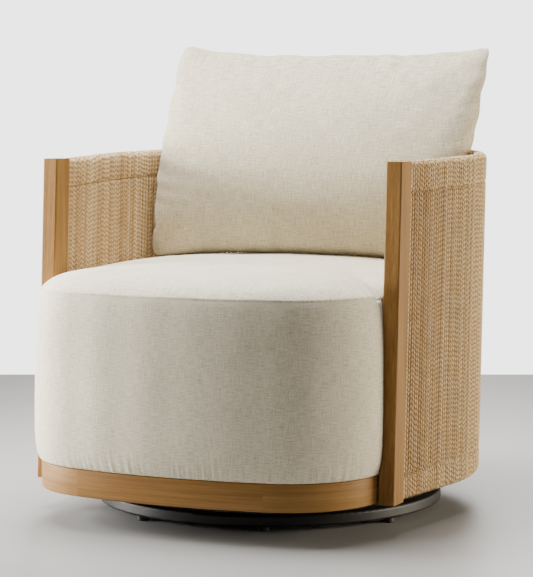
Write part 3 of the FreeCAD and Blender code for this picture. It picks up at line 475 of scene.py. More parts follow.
def seat_outline(z, grow, front, rear):
    """The cover's outline at a height: the drum in front of the posts, then a notch round
    each post, and behind it the barrel's inner face."""
    notch_x = POST_INNER - SEAT_GAP
    notch_y = POST_FRONT + lean(z) - SEAT_GAP
    notch = math.atan2(notch_y - MIDDLE_Y, notch_x)
    ahead = notch + (-math.pi - 2.0 * notch) * front
    behind = notch + (math.pi - 2.0 * notch) * rear
    edge = reach(ahead, lambda x, y: inside_drum(x, y, grow))

    def held(x, y):
        return inside_barrel(x, y, z, BARREL_WALL + SEAT_GAP) & (
            (np.abs(x) < notch_x) | (y > POST_REAR + lean(z) + SEAT_GAP))

    wall_edge = reach(behind, held)
    drum_edge = reach(behind, lambda x, y: inside_drum(x, y, grow))
    inner = smooth(z, *SEAT_PAD_FILL)
    back_edge = np.minimum(wall_edge, drum_edge * (1.0 - inner) + wall_edge * inner)
    return np.concatenate([ahead, behind[1:-1] - 2.0 * math.pi]), np.concatenate([edge, back_edge[1:-1]])


def make_seat_cover():
    """The filled cover: its bulging wall, the seam round its front and the domed top, as rings
    of points from the hem to the middle."""
    front = np.linspace(0.0, 1.0, SEAT_FRONT_COLUMNS)
    rear = np.linspace(0.0, 1.0, SEAT_REAR_COLUMNS)
    columns = SEAT_FRONT_COLUMNS + SEAT_REAR_COLUMNS - 2
    index = np.arange(columns)
    middle_of_rear = SEAT_FRONT_COLUMNS + SEAT_REAR_COLUMNS / 2.0
    from_rear = np.abs((index - middle_of_rear + columns / 2.0) % columns - columns / 2.0)
    before, after = SEAT_POST_COLUMNS
    behind = 1.0 - smooth(from_rear, SEAT_REAR_COLUMNS / 2.0 - before, SEAT_REAR_COLUMNS / 2.0 + after)
    girth = index * SEAT_GIRTH / columns
    gather = wander(girth, 9, HEM_GATHER, HEM_WAVELENGTH)
    sway = wander(girth, 5, SEAT_SWAY, SEAT_SWAY_WAVE)
    rows = []
    travel = []
    walked = 0.0
    last_z = SEAT_BULGE[0][0]
    for z, grow in SEAT_BULGE:
        turn, edge = seat_outline(z, grow, front, rear)
        hem = 1.0 - smooth(z, *HEM_HEIGHTS)
        edge = edge + (gather * hem + sway * (1.0 - hem)) * (1.0 - behind)
        rows.append((turn, edge, np.full(columns, z)))
        walked += max(z - last_z, 0.4)
        last_z = z
        travel.append(walked)
    turn, edge = seat_outline(SEAT_SEAM, SEAT_SEAM_OUT, front, rear)
    spread = SEAT_CORNER_SOFTENING
    kernel = np.exp(-np.arange(-spread, spread + 1) ** 2 / SEAT_CORNER_SPREAD)
    kernel /= kernel.sum()
    soft_edge = np.convolve(np.concatenate([edge[-spread:], edge, edge[:spread]]), kernel, mode="valid")
    soft_edge = np.minimum(soft_edge, edge + SEAT_SOFT_LIMIT)
    insets = np.concatenate([SEAT_RINGS, np.linspace(*SEAT_INNER_RINGS)])
    starts, ends = SEAT_SEAM_FADE
    seam_fade = 1.0 - smooth(index, SEAT_FRONT_COLUMNS - starts, SEAT_FRONT_COLUMNS - ends)
    for step, inset in enumerate(insets):
        share = smooth(inset, 0.0, SEAT_SOFT_BY)
        radius = edge * (1.0 - share) + soft_edge * share
        inward = (inset - SEAT_RIM) / (SEAT_INNER_RINGS[1] - SEAT_RIM)
        shrunk = radius - SEAT_RIM - inward * (radius - SEAT_RIM - SEAT_POLE)
        radius = radius - inset if inset < SEAT_RIM else shrunk
        real_inset = edge - radius
        dome = SEAT_CROWN - SEAT_DOME[0] * np.exp(-real_inset / SEAT_DOME[1])
        ahead_z = dome - SEAT_FRONT_ROUND[0] * np.exp(-real_inset / SEAT_FRONT_ROUND[1])
        behind_z = dome - SEAT_REAR_ROUND[0] * np.exp(-real_inset / SEAT_REAR_ROUND[1])
        z = ahead_z * (1.0 - behind) + behind_z * behind
        groove = np.exp(-((real_inset - SEAT_SEAM_INSET) / SEAT_SEAM_WIDTH) ** 2)
        radius = radius - SEAT_SEAM_DEPTH * groove * (1.0 - behind) * seam_fade
        rows.append((turn, radius + 0.5 * sway * (1.0 - share) * (1.0 - behind), z))
        walked += 1.5 if step == 0 else insets[step] - insets[step - 1]
        travel.append(walked)
    grid = np.array([np.column_stack([radius * np.cos(turn), MIDDLE_Y + radius * np.sin(turn), z])
                     for turn, radius, z in rows])
    top_rows = slice(len(SEAT_BULGE), None)
    x, y = grid[top_rows, :, 0], grid[top_rows, :, 1]
    level = smooth(np.hypot(x, y - MIDDLE_Y), *SEAT_LEVEL)
    grid[top_rows, :, 2] += rumple(x, y) * level - crease_depth(x, y)
    uv = np.zeros((len(rows), columns + 1, 2))
    uv[:, :, 0] = np.arange(columns + 1) * SEAT_GIRTH / columns * MM
    uv[:, :, 1] = (np.array(travel) * MM)[:, None]
    uv[top_rows] = np.concatenate([grid, grid[:, :1]], axis=1)[top_rows, :, :2] * MM
    piece = grid_piece("seat_upholstery", [(grid, uv)], False, True)
    close_middle(piece, grid)
    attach(piece, "seat")
    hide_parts("seat_cover", "seat_foam", "side_padding", "rim_padding")
    return piece


def rumple(x, y):
    """Faint unevenness of the filled top: waves of about a millimetre, 150 to 400 mm long."""
    return 0.7 * np.sin(x / 47.0 + 1.1) * np.sin(y / 61.0 + 0.4) + 0.4 * np.sin(x / 23.0 - y / 31.0)


def crease_depth(x, y):
    """Soft valley in the seat's top that runs in from each post."""
    start = np.array(CREASE_START)
    way = np.array(CREASE_END) - start
    span = np.hypot(*way)
    way = way / span
    along = (np.abs(x) - start[0]) * way[0] + (y - start[1]) * way[1]
    aside = (np.abs(x) - start[0]) * way[1] - (y - start[1]) * way[0]
    fade = smooth(along, *CREASE_SET_IN) * (1.0 - smooth(along, CREASE_FADE * span, span))
    width = CREASE_WIDTH * (1.0 + CREASE_WIDEN * np.clip(along / span, 0.0, 1.0))
    return CREASE_DEPTH * fade * np.exp(-(aside / width) ** 2)


def close_middle(piece, grid):
    """Closes the last ring of a piece made of rings with one flat face, and the first one too."""
    shape = bmesh.new()
    shape.from_mesh(piece.data)
    shape.verts.ensure_lookup_table()
    columns = grid.shape[1]
    last = len(shape.verts) - columns
    shape.faces.new([shape.verts[last + index] for index in range(columns)]).smooth = True
    shape.faces.new([shape.verts[columns - 1 - index] for index in range(columns)]).smooth = True
    shape.faces.ensure_lookup_table()
    layer = shape.loops.layers.uv.active
    for corner in shape.faces[-2].loops[:] + shape.faces[-1].loops[:]:
        corner[layer].uv = corner.vert.co.xy
    bmesh.ops.recalc_face_normals(shape, faces=shape.faces)
    shape.to_mesh(piece.data)
    shape.free()


# Back cushion

CUSHION_MIDDLE_X = -1.0
CUSHION_HALF = 325.0      # from the middle to an ear, across
CUSHION_TALL = 437.0      # from the foot's seam to an ear, along the cushion
CUSHION_COLUMNS = 84
CUSHION_ROWS = 58
CUSHION_FRONT = 90.0      # fullness of the front and back skins at the middle
CUSHION_BACK = 72.0
CUSHION_SIDE_BOW = 2.0    # how far the filling draws in the middle of each edge
CUSHION_TOP_BOW = 21.0
CUSHION_SIDE_CURVE = 4.0  # how square those drawn-in edges run: 2 is an even bow
CUSHION_TOP_CURVE = 4.5
CUSHION_EAR_ROUND = 27.0
SWELL_ACROSS = (3.6, 0.46)   # how square and how steep the filling is, across
SWELL_UP = (2.6, 0.52)       # towards the top
SWELL_DOWN = (1.5, 0.72)     # and towards the foot
CUSHION_TILT = 6.0        # how much higher its left ear stands, and lower its right one
CUSHION_FOOT_BOW = 4.0
CUSHION_CLOTH = {
    "quality": 6, "mass": 0.4, "use_pressure": True, "uniform_pressure_force": 1.2,
    "tension_stiffness": 40.0, "compression_stiffness": 40.0, "shear_stiffness": 20.0,
    "bending_stiffness": 6.0, "air_damping": 4.0,
}
CUSHION_FRAMES = 18
CUSHION_SETTLE = 7.0      # the most that a point moves as the filling settles
CUSHION_FOOT_Y = 150.0
CUSHION_FOOT_Z = 420.0
CUSHION_SLOPE = 0.14      # how far back it lies for each millimetre of height, at the foot
CUSHION_BEND = 0.000425   # and how much more as it bends back over the rail
PUCKER_DEPTH = 0.1        # share of the fullness that the seam's small folds take
PUCKER_REACH = 34.0
PUCKER_LENGTH = 34.0
PUCKER_WAVES = 7
SEAM_SWAY = (1.6, 1.1)    # how far the side and top seams wander
SEAM_WAVE = 70.0
SEAM_TURN = (6.28, 4.1)   # radians in one such wave, at the sides and at the top
EAR_FOLD = 3.2
EAR_FOLD_REACH = 58.0
EAR_FOLDS = ((8.0, 1.0), (15.0, 0.6))   # how many radiate round an ear, and how deep they are
RAIL_HOLD = (616.0, 664.0)   # heights between which the barrel lets go of the cushion
WALL_GAP = 2.0
WALL_SQUASH = 10.0        # depth over which the cushion flattens against the barrel
SEAT_CUSHION_GAP = 0.7
FOOT_SQUASH = 5.0
ABOVE_SEAT = 1.0          # metres; a height above everything, from which the seat is felt for


def bulge(place, shape):
    """Fullness from 0 at an edge to 1 at the middle, for places from -1 to 1."""
    square, steep = shape
    return (1.0 - np.abs(place) ** square) ** steep


def pillow_grid(side, fullness):
    """One skin of the filled cushion: across, up and out from the seam's plane. Its edges are
    drawn in between the ears, and small folds run in from the seam."""
    across = np.linspace(-1.0, 1.0, CUSHION_COLUMNS + 1)
    up = np.linspace(-1.0, 1.0, CUSHION_ROWS + 1)
    across, up = np.meshgrid(across, up)
    x = across * (CUSHION_HALF - CUSHION_SIDE_BOW * (1.0 - np.abs(up) ** CUSHION_SIDE_CURVE))
    bow = np.where(up > 0.0, CUSHION_TOP_BOW, CUSHION_FOOT_BOW)
    y = up * (CUSHION_TALL / 2.0 - bow * (1.0 - np.abs(across) ** CUSHION_TOP_CURVE))
    over_x = np.maximum(np.abs(x) - CUSHION_HALF + CUSHION_EAR_ROUND, 0.0)
    over_y = np.maximum(np.abs(y) - CUSHION_TALL / 2.0 + CUSHION_EAR_ROUND, 0.0)
    pull = 1.0 - np.maximum(over_x, over_y) / np.maximum(np.hypot(over_x, over_y), 0.001)
    pull = np.where((over_x > 0.0) & (over_y > 0.0), pull, 0.0)
    x -= np.sign(x) * over_x * pull
    y -= np.sign(y) * over_y * pull
    swell = bulge(across, SWELL_ACROSS)
    swell *= np.where(up > 0.0, bulge(up, SWELL_UP), bulge(up, SWELL_DOWN))
    from_side = (1.0 - np.abs(across)) * CUSHION_HALF
    from_end = (1.0 - np.abs(up)) * CUSHION_TALL / 2.0
    folds = np.exp(-from_side / PUCKER_REACH) * wander(y + CUSHION_TALL, PUCKER_WAVES, 1.0, PUCKER_LENGTH)
    folds += np.exp(-from_end / PUCKER_REACH) * wander(
        x + CUSHION_HALF * 2.0, PUCKER_WAVES, 0.7, PUCKER_LENGTH)
    out = fullness * swell * (1.0 + PUCKER_DEPTH * folds)
    side_wave = np.sin(y / SEAM_WAVE * SEAM_TURN[0] + np.sign(x))
    x += np.sign(across) * np.abs(across) ** 8.0 * SEAM_SWAY[0] * side_wave
    y += np.maximum(up, 0.0) ** 8.0 * SEAM_SWAY[1] * np.sin(x / SEAM_WAVE * SEAM_TURN[1] + 0.7)
    for ear in (-1.0, 1.0):
        ear_x, ear_y = ear * CUSHION_HALF - x, CUSHION_TALL / 2.0 - y
        away = np.hypot(ear_x, ear_y)
        angle = np.arctan2(ear_y, ear * ear_x)
        ripple = sum(depth * np.sin(number * angle + draw.uniform(0.0, ANY_PHASE))
                     for number, depth in EAR_FOLDS)
        out += EAR_FOLD * ripple * swell * away / EAR_FOLD_REACH * np.exp(1.0 - away / EAR_FOLD_REACH)
    return np.stack([x, y, side * out], axis=-1)


def pillow_mesh():
    """Both skins sewn at the edge, as points, faces and UV corners."""
    front = pillow_grid(1.0, CUSHION_FRONT)
    back = pillow_grid(-1.0, CUSHION_BACK)
    rows, columns = front.shape[:2]
    count = rows * columns
    number = np.arange(count).reshape(rows, columns)
    back_number = number + count
    for edge in (np.s_[0, :], np.s_[-1, :], np.s_[:, 0], np.s_[:, -1]):
        back_number[edge] = number[edge]
    used = np.unique(np.concatenate([number.ravel(), back_number.ravel()]))
    points = np.concatenate([front.reshape(-1, 3), back.reshape(-1, 3)])[used]
    skins = [np.stack([skin[:-1, :-1], skin[:-1, 1:], skin[1:, 1:], skin[1:, :-1]], -1).reshape(-1, 4)
             for skin in (number, back_number)]
    faces = np.concatenate([skins[0], np.roll(skins[1][:, ::-1], 1, axis=1)])
    faces = np.searchsorted(used, faces)
    corners = points[faces][:, :, :2] * MM
    corners[len(faces) // 2:, :, 0] += 1.0
    return points, faces, corners


def settle(piece, points):
    """Lets the filling settle with Blender's cloth under pressure, and gives the points."""
    scene = bpy.context.scene
    cloth = piece.modifiers.new("filling", "CLOTH")
    for setting, value in CUSHION_CLOTH.items():
        setattr(cloth.settings, setting, value)
    cloth.settings.effector_weights.gravity = 0.0
    cloth.point_cache.frame_start = 1
    cloth.point_cache.frame_end = CUSHION_FRAMES
    for frame_number in range(1, CUSHION_FRAMES + 1):
        scene.frame_set(frame_number)
    graph = bpy.context.evaluated_depsgraph_get()
    filled = bpy.data.meshes.new_from_object(piece.evaluated_get(graph))
    settled = np.empty(len(filled.vertices) * 3)
    filled.vertices.foreach_get("co", settled)
    piece.modifiers.clear()
    bpy.data.meshes.remove(filled)
    scene.frame_set(1)
    moved = settled.reshape(-1, 3) / MM - points
    distance = np.linalg.norm(moved, axis=1)
    share = np.minimum(1.0, CUSHION_SETTLE / np.maximum(distance, 0.001))
    return points + moved * share[:, None]


def seat_heights(seat, x, y):
    """Height of the seat's top under points, in millimetres."""
    tree = BVHTree.FromPolygons([point.co for point in seat.data.vertices],
                                [face.vertices for face in seat.data.polygons])
    heights = []
    for place_x, place_y in zip(x * MM, y * MM):
        hit = tree.ray_cast(Vector((place_x, place_y, ABOVE_SEAT)), Vector((0.0, 0.0, -1.0)))[0]
        heights.append(hit.z / MM if hit else 0.0)
    return np.array(heights)


def stand_cushion(points, seat):
    """Stands the filled cushion in the barrel: leaning and bent back over the rail, held
    inside the barrel's inner face, and resting on the seat."""
    across, up, out = points[:, 0], points[:, 1], points[:, 2]
    tilt = -CUSHION_TILT * across / CUSHION_HALF
    height = (up + CUSHION_TALL / 2.0) * (1.0 + tilt / CUSHION_TALL)
    turn = np.arctan(CUSHION_SLOPE + 2.0 * CUSHION_BEND * height)
    x = CUSHION_MIDDLE_X + across
    y = CUSHION_FOOT_Y + CUSHION_SLOPE * height + CUSHION_BEND * height ** 2 - out * np.cos(turn)
    middle_turn = math.atan(CUSHION_SLOPE + CUSHION_BEND * CUSHION_TALL)
    z = CUSHION_FOOT_Z + height * math.cos(middle_turn) - out * np.sin(turn)
    held = 1.0 - smooth(z, *RAIL_HOLD)
    plan_y = y - lean(z)
    radius = BARREL_RADIUS - BARREL_WALL - WALL_GAP
    reach_out = np.hypot(x, plan_y - BARREL_CENTRE)
    over = np.maximum(reach_out - (radius - WALL_SQUASH), 0.0)
    pressed = radius - WALL_SQUASH * np.exp(-over / WALL_SQUASH)
    scale = np.where(over > 0.0, pressed / np.maximum(reach_out, 1.0), 1.0)
    scale = 1.0 + (scale - 1.0) * held
    x = x * scale
    y = BARREL_CENTRE + (plan_y - BARREL_CENTRE) * scale + lean(z)
    low = seat_heights(seat, x, y) + SEAT_CUSHION_GAP
    squashed = low + FOOT_SQUASH * np.exp((z - low - FOOT_SQUASH) / FOOT_SQUASH)
    z = np.where(z < low + FOOT_SQUASH, squashed, z)
    return np.stack([x, y, z], axis=-1)


def make_cushion(seat):
    """The loose back cushion, sewn, filled, settled and stood on the seat."""
    points, faces, corners = pillow_mesh()
    piece = mesh_piece("back_cushion", points, faces, corners)
    points = settle(piece, points)
    points = stand_cushion(points, seat)
    piece.data.vertices.foreach_set("co", (points * MM).ravel())
    piece.data.update()
    subdivide(piece)
    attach(piece, "back_cushion")
    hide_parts("back_cushion_cover", "back_cushion_fill")
    return piece


def subdivide(piece):
    """One applied subdivision."""
    rounder = piece.modifiers.new("rounder", "SUBSURF")
    rounder.levels = 1
    rounder.render_levels = 1
    graph = bpy.context.evaluated_depsgraph_get()
    finer = bpy.data.meshes.new_from_object(piece.evaluated_get(graph))
    piece.modifiers.clear()
    piece.data = finer


# Rock springs

SPRING_PLACES = ("front_left", "front_right", "rear_left", "rear_right")


def make_rock_springs():
    """Coil springs between their cups, copied from the CAD nodes as pieces of their own."""
    springs = []
    for place in SPRING_PLACES:
        node = frame["nodes"]["rock_spring_" + place]
        piece = bpy.data.objects.new("coil_" + place, node.data.copy())
        piece.matrix_world = node.matrix_world.copy()
        bpy.context.scene.collection.objects.link(piece)
        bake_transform(piece)
        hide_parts("rock_spring_" + place)
        springs.append(piece)
    return springs


# Materials

def colour(hex_value):
    """Linear RGBA of an sRGB hex colour."""
    channels = [int(hex_value[index:index + 2], 16) / 255.0 for index in (1, 3, 5)]
    return [c / 12.92 if c <= 0.04045 else ((c + 0.055) / 1.055) ** 2.4 for c in channels] + [1.0]


def add(tree, kind, inputs=None, stops=None, **settings):
    """Adds a node with its settings, its linked or filled inputs and its colour stops. A node
    given as an input links its first output."""
    node = tree.nodes.new("ShaderNode" + kind)
    for name, value in settings.items():
        setattr(node, name, value)
    for name, value in (inputs or {}).items():
        if isinstance(value, bpy.types.Node):
            value = value.outputs[0]
        if isinstance(value, bpy.types.NodeSocket):
            tree.links.new(value, node.inputs[name])
        else:
            node.inputs[name].default_value = value
    if stops:
        band = node.color_ramp.elements
        while len(band) < len(stops):
            band.new(0.5)
        for element, (place, hex_value) in zip(band, stops):
            element.position = place
            element.color = colour(hex_value)
    return node


def new_material(name):
    material = bpy.data.materials.new(name)
    material.use_nodes = True
    material.node_tree.nodes.clear()
    return material, material.node_tree


def finish_surface(tree, inputs):
    """Ends a material with its shader and output."""
    shader = add(tree, "BsdfPrincipled", inputs)
    add(tree, "OutputMaterial", {"Surface": shader})


LINEN_THREAD = 1.5        # mm; real linen threads are 0.8 mm, drawn coarser so that they show
LINEN_SLUB = 26.0         # mm of thread over which its shade changes
LINEN_HEATHER = 2.6       # mm; flecks of undyed fibre, as coarse as the threads
LINEN_CLOUD = 90.0        # mm; faint unevenness of the dye


def linen(name, light, middle, dark):
    """Heather linen, plain woven: two sets of uneven threads with slubs, a soft dry surface."""
    material, tree = new_material(name)
    place = add(tree, "TexCoord").outputs["UV"]
    heather = add(tree, "TexNoise", {
        "Vector": place, "Scale": 1.0 / (LINEN_HEATHER * MM), "Detail": 3.0})
    weave = heather
    for run, rise in ((LINEN_SLUB, LINEN_THREAD), (LINEN_THREAD, LINEN_SLUB)):
        stretched = add(tree, "Mapping", {
            "Vector": place, "Scale": (1.0 / (run * MM), 1.0 / (rise * MM), 1.0)})
        threads = add(tree, "TexNoise", {
            "Vector": stretched, "Scale": 1.0, "Detail": 2.0, "Roughness": 0.55})
        weave = add(tree, "Math", {0: weave, 1: threads}, operation="ADD")
    level = add(tree, "MapRange", {"Value": weave, "From Min": 1.05, "From Max": 1.95})
    tone = add(tree, "ValToRGB", {"Fac": level},
               stops=((0.12, dark), (0.5, middle), (0.88, light)))
    cloud = add(tree, "TexNoise", {
        "Vector": place, "Scale": 1.0 / (LINEN_CLOUD * MM), "Detail": 2.0})
    shade = add(tree, "MapRange", {
        "Value": cloud, "From Min": 0.3, "From Max": 0.7, "To Min": 0.95, "To Max": 1.03})
    tinted = add(tree, "VectorMath", {0: tone, "Scale": shade}, operation="SCALE")
    bump = add(tree, "Bump", {"Height": weave, "Strength": 0.35, "Distance": 0.5 * MM})
    finish_surface(tree, {
        "Base Color": tinted, "Normal": bump, "Roughness": 0.93, "Specular IOR Level": 0.25,
        "Sheen Weight": 0.25, "Sheen Roughness": 0.5})
    return material


# mm across and along the grain
OAK_RING = (9.0, 420.0)
OAK_FIBRE = (1.4, 120.0)
OAK_STREAK = (45.0, 300.0)
OAK_PORE = (0.9, 14.0)    # real pores are 0.3 mm wide, drawn coarser so that they show


def oak(name, coordinates, along, light, middle, dark, toned=False):
    """Oak, planed and oiled: long even streaks of grain, fine dark pores and a low satin gloss."""
    material, tree = new_material(name)
    place = add(tree, "TexCoord").outputs[coordinates]

    def grain(size, detail, distortion=0.0):
        scale = [1.0 / (size[0] * MM)] * 3
        scale[along] = 1.0 / (size[1] * MM)
        stretched = add(tree, "Mapping", {"Vector": place, "Scale": scale})
        return add(tree, "TexNoise", {
            "Vector": stretched, "Scale": 1.0, "Detail": detail, "Roughness": 0.6,
            "Distortion": distortion})

    fibre = grain(OAK_FIBRE, 3.0)
    shares = [(grain(OAK_STREAK, 1.0), 0.2), (fibre, 0.4), (grain(OAK_RING, 4.0, 0.3), 0.4)]
    mixed = 0.0
    if toned:
        board = add(tree, "Attribute", attribute_name="tone")
        shares.append((board.outputs["Fac"], 0.22))
        mixed = -0.11
    for pattern, share in shares:
        mixed = add(tree, "Math", {0: pattern, 1: share, 2: mixed}, operation="MULTIPLY_ADD")
    level = add(tree, "MapRange", {"Value": mixed, "From Min": 0.3, "From Max": 0.7})
    wood = add(tree, "ValToRGB", {"Fac": level},
               stops=((0.1, dark), (0.5, middle), (0.9, light)))
    pore = add(tree, "MapRange", {
        "Value": grain(OAK_PORE, 1.0), "From Min": 0.28, "From Max": 0.4, "To Min": 0.84})
    grained = add(tree, "VectorMath", {0: wood, "Scale": pore}, operation="SCALE")
    height = add(tree, "Math", {0: pore, 1: fibre}, operation="ADD")
    bump = add(tree, "Bump", {"Height": height, "Strength": 0.1, "Distance": 0.2 * MM})
    finish_surface(tree, {
        "Base Color": grained, "Normal": bump, "Roughness": 0.5, "IOR": 1.5,
        "Specular IOR Level": 0.18})
    return material


CORD_FIBRES = 22.0        # round the cord
CORD_FIBRE_RUN = 14.0     # mm along it
CORD_PATCH = 16.0         # mm of cord over which its shade changes


def twisted_cord(name, light, middle, dark, groove):
    """Paper cord, twisted from two strands: matt and straw coloured. The slanting groove where the
    strands meet is painted dark as painted shade, and the strands' crowns take the lighter straw colours."""
    material, tree = new_material(name)
    coordinates = add(tree, "TexCoord")
    place = add(tree, "SeparateXYZ", {"Vector": coordinates.outputs["UV"]})
    around, along = place.outputs["X"], place.outputs["Y"]
    turned = add(tree, "Math", {0: along, 1: 1.0 / (CORD_LAY * MM), 2: around},
                 operation="MULTIPLY_ADD")
    angle = add(tree, "Math", {0: turned, 1: 2.0 * math.pi}, operation="MULTIPLY")
    wave = add(tree, "Math", {0: angle}, operation="SINE")
    strand = add(tree, "Math", {0: wave}, operation="ABSOLUTE")
    crown = add(tree, "Math", {0: strand, 1: 0.8}, operation="POWER")
    fibre_place = add(tree, "CombineXYZ", {"X": turned, "Y": along})
    fibre_scale = add(tree, "Mapping", {
        "Vector": fibre_place, "Scale": (CORD_FIBRES, 1.0 / (CORD_FIBRE_RUN * MM), 1.0)})
    fibre = add(tree, "TexNoise", {"Vector": fibre_scale, "Scale": 1.0, "Detail": 2.0})
    patch = add(tree, "TexNoise", {
        "Vector": coordinates.outputs["Object"], "Scale": 1.0 / (CORD_PATCH * MM), "Detail": 2.0})
    shade = add(tree, "Attribute", attribute_name="tone").outputs["Fac"]
    for pattern, share in ((fibre, 0.5), (patch, 0.6)):
        shade = add(tree, "Math", {0: pattern, 1: share, 2: shade}, operation="MULTIPLY_ADD")
    level = add(tree, "MapRange", {"Value": shade, "From Min": 0.6, "From Max": 1.5})
    straw = add(tree, "ValToRGB", {"Fac": level},
                stops=((0.0, dark), (0.5, middle), (1.0, light)))
    # painted shade: the colour runs from the dark groove colour in the hollow between the strands to the
    # straw colours on their crowns
    groove_shade_mask = add(tree, "MapRange", {"Value": crown, "From Min": 0.05, "From Max": 0.62})
    shaded = add(tree, "Mix", {"Factor": groove_shade_mask, "A": colour(groove), "B": straw},
                 data_type="RGBA")
    height = add(tree, "Math", {0: fibre, 1: 0.12, 2: crown}, operation="MULTIPLY_ADD")
    bump = add(tree, "Bump", {"Height": height, "Strength": 0.85, "Distance": 1.3 * MM})
    finish_surface(tree, {
        "Base Color": shaded.outputs[2], "Normal": bump, "Roughness": 0.72, "IOR": 1.48})
    return material


FINISH_CLOUD = 60.0       # mm; faint unevenness of a plain finish


def plain_finish(name, base, roughness, metallic, grain, strength, spread=0.06):
    """A finish with fine uneven tone and texture of one grain size in millimetres."""
    material, tree = new_material(name)
    place = add(tree, "TexCoord").outputs["Object"]
    noise = add(tree, "TexNoise", {"Vector": place, "Scale": 1.0 / (grain * MM), "Detail": 3.0})
    cloud = add(tree, "TexNoise", {
        "Vector": place, "Scale": 1.0 / (FINISH_CLOUD * MM), "Detail": 2.0})
    both = add(tree, "Math", {0: noise, 1: cloud}, operation="ADD")
    level = add(tree, "MapRange", {
        "Value": both, "From Min": 0.6, "From Max": 1.4, "To Min": 1.0 - spread, "To Max": 1.0 + spread})
    tinted = add(tree, "VectorMath", {0: colour(base)[:3], "Scale": level}, operation="SCALE")
    bump = add(tree, "Bump", {
        "Height": noise, "Strength": strength, "Distance": grain * 0.3 * MM})
    finish_surface(tree, {
        "Base Color": tinted, "Normal": bump, "Roughness": roughness, "Metallic": metallic})
    return material


def node_materials():
    """Finish for the CAD nodes of each material slot."""
    return {
        # powder coat: dark, slightly pebbled, with a soft sheen at the rim
        "black_painted_steel": plain_finish("powder_coated_steel", "#121213", 0.5, 0.0, 1.6, 0.15),
        # moulded nylon: even and matt
        "black_plastic": plain_finish("moulded_nylon_black", "#161616", 0.55, 0.0, 0.8, 0.1),
        # zinc plating: pale grey metal, faintly mottled
        "plain_steel": plain_finish("zinc_plated_steel", "#B9BABD", 0.38, 1.0, 3.0, 0.08),
        # ground steel: smooth and bright
        "bearing_steel": plain_finish("ground_bearing_steel", "#C4C6C9", 0.18, 1.0, 2.0, 0.03),
        # oil-tempered wire: dark blue-grey metal
        "spring_steel": plain_finish("oil_tempered_wire", "#6D6F73", 0.35, 1.0, 2.0, 0.06),
        # turned acetal: milky and slightly glossy
        "bushing_plastic": plain_finish("acetal_white", "#E4E1D8", 0.4, 0.0, 1.5, 0.04),
        # sawn pine: pale and fibrous
        "frame_wood": oak("sawn_pine", "Object", 0, "#DCC49A", "#CDAF80", "#B08F5F"),
        # polyether foam: pale yellow, full of fine cells
        "seat_foam": plain_finish("polyether_foam", "#E9E2C4", 0.95, 0.0, 2.2, 0.6),
        # bonded polyester: white and fluffy
        "wadding": plain_finish("bonded_polyester_wadding", "#EDEBE4", 1.0, 0.0, 4.0, 0.7),
        # spun-bonded polypropylene: thin black felt with a fine emboss
        "dust_cloth": plain_finish("spunbonded_polypropylene", "#202022", 0.9, 0.0, 1.5, 0.3),
    }


def dress(piece, material):
    piece.data.materials.clear()
    piece.data.materials.append(material)


def dress_node(node, material):
    for slot in node.material_slots:
        slot.link = "OBJECT"
        slot.material = material


# Room, light and camera

CAMERA_PLACE = (1571.3, -3426.3, 689.6)
CAMERA_TURN = math.radians(24.73)
CAMERA_TILT = math.radians(4.63)
CAMERA_LENS = 141.26
SENSOR = 36.0
FLOOR_END = 5630.0        # mm ahead of the camera
FLOOR_REACH = 2500.0
# name, place and target in metres, width and height, watts and tint
LIGHTS = (
    ("overhead", (-0.25, 0.0, 2.5), (-0.15, -0.1, 0.4), (1.6, 1.2), 158.0, "#FFFFFF"),
    ("left_window", (-1.5, -0.55, 0.56), (-0.1, -0.2, 0.3), (0.7, 0.8), 97.0, "#FFFDF8"),
    ("right_window", (2.0, 0.9, 0.42), (0.0, 0.0, 0.3), (1.2, 0.6), 58.0, "#FFF4DC"),
    ("rear_fill", (-0.9, 2.6, 1.4), (0.0, 0.0, 0.4), (1.8, 1.0), 60.0, "#FFFFFF"),
)
ROOM_LIGHT = ("#FFF3E4", 0.14)
BACKDROP = ("#E8E9EA", 4.2)


def make_lights():
    for name, place, target, size, power, tint in LIGHTS:
        lamp = bpy.data.lights.new(name, "AREA")
        lamp.shape = "RECTANGLE"
        lamp.size, lamp.size_y = size
        lamp.energy = power
        lamp.color = colour(tint)[:3]
        holder = bpy.data.objects.new(name, lamp)
        holder.location = Vector(place)
        way = Vector(target) - Vector(place)
        holder.rotation_euler = way.to_track_quat("-Z", "Y").to_euler()
        bpy.context.scene.collection.objects.link(holder)


def make_camera():
    lens = bpy.data.cameras.new("camera")
    lens.sensor_fit = "HORIZONTAL"
    lens.sensor_width = SENSOR
    lens.lens = CAMERA_LENS
    lens.clip_end = 50.0
    camera = bpy.data.objects.new("camera", lens)
    camera.location = Vector(CAMERA_PLACE) * MM
    camera.rotation_euler = (math.pi / 2.0 - CAMERA_TILT, 0.0, CAMERA_TURN)
    bpy.context.scene.collection.objects.link(camera)
    bpy.context.scene.camera = camera


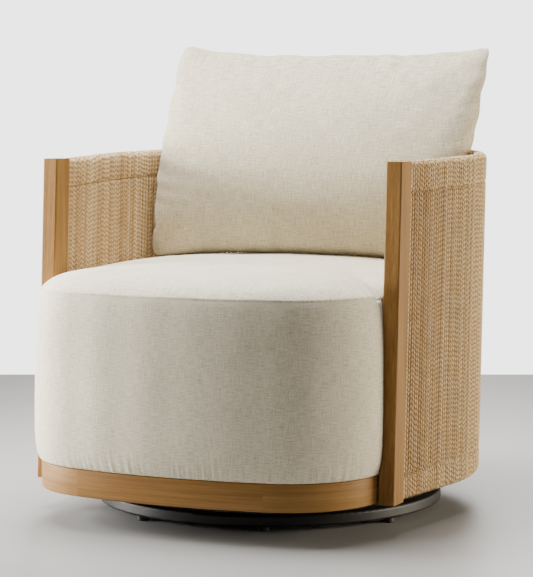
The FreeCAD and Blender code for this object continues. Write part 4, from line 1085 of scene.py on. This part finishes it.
def make_floor():
    """Pale floor that ends behind the chair, square to the view, where the backdrop begins."""
    ahead = np.array([-math.sin(CAMERA_TURN), math.cos(CAMERA_TURN), 0.0])
    aside = np.array([math.cos(CAMERA_TURN), math.sin(CAMERA_TURN), 0.0]) * FLOOR_REACH
    far = np.array([CAMERA_PLACE[0], CAMERA_PLACE[1], 0.0]) + ahead * FLOOR_END
    near = far - 2.0 * ahead * FLOOR_REACH
    corners = np.array([near - aside, near + aside, far + aside, far - aside]) * MM
    mesh = bpy.data.meshes.new("floor")
    mesh.from_pydata(corners.tolist(), [], [(0, 1, 2, 3)])
    floor = bpy.data.objects.new("floor", mesh)
    bpy.context.scene.collection.objects.link(floor)
    dress(floor, plain_finish("studio_floor", "#959493", 0.45, 0.0, 40.0, 0.0, spread=0.01))


def make_backdrop():
    """Soft warm room light, and a plain pale backdrop behind the floor."""
    world = bpy.data.worlds.new("room")
    world.use_nodes = True
    tree = world.node_tree
    tree.nodes.clear()
    room, pale = [add(tree, "Background", {"Color": colour(tint), "Strength": strength})
                  for tint, strength in (ROOM_LIGHT, BACKDROP)]
    path = add(tree, "LightPath")
    both = add(tree, "MixShader", {0: path.outputs["Is Camera Ray"], 1: room, 2: pale})
    add(tree, "OutputWorld", {"Surface": both})
    bpy.context.scene.world = world


cords = make_cords()
plinth = make_plinth()
seat = make_seat_cover()
cushion = make_cushion(seat)
rock_springs = make_rock_springs()

finishes = node_materials()
# oiled oak and heather linen, each matched to its own piece's shade; the cushion's copy of the seat's
# linen is darker, as painted shade
finishes["oak"] = oak("oiled_oak_post", "Object", 2, "#A47B45", "#8C6532", "#6F4C22")
finishes["oatmeal_linen"] = linen("heather_linen_seat", "#EEE7D2", "#DAD1B8", "#BAAE92")
# the last colour is painted shade for the grooves between the cord's strands
finishes["natural_cord"] = twisted_cord("twisted_paper_cord", "#E6CEA0", "#CDAC7C", "#A8824F", "#3E2812")
oak_plinth = oak("oiled_oak_board", "UV", 0, "#A87E48", "#916A37", "#755126", toned=True)
# the same linen as the seat's, painted darker: painted shade on the back cushion
shaded_linen_cushion = linen("heather_linen_cushion_shaded", "#D6CDB5", "#BFB59B", "#A09578")

slots = {row["node"]: row["material_slot"] for row in frame["record"]["subparts"]}
for name, node in frame["nodes"].items():
    dress_node(node, finishes[slots[name]])
for piece in cords:
    dress(piece, finishes["natural_cord"])
for piece in rock_springs:
    dress(piece, finishes["spring_steel"])
dress(plinth, oak_plinth)
dress(seat, finishes["oatmeal_linen"])
dress(cushion, shaded_linen_cushion)

make_floor()
make_backdrop()
make_lights()
make_camera()
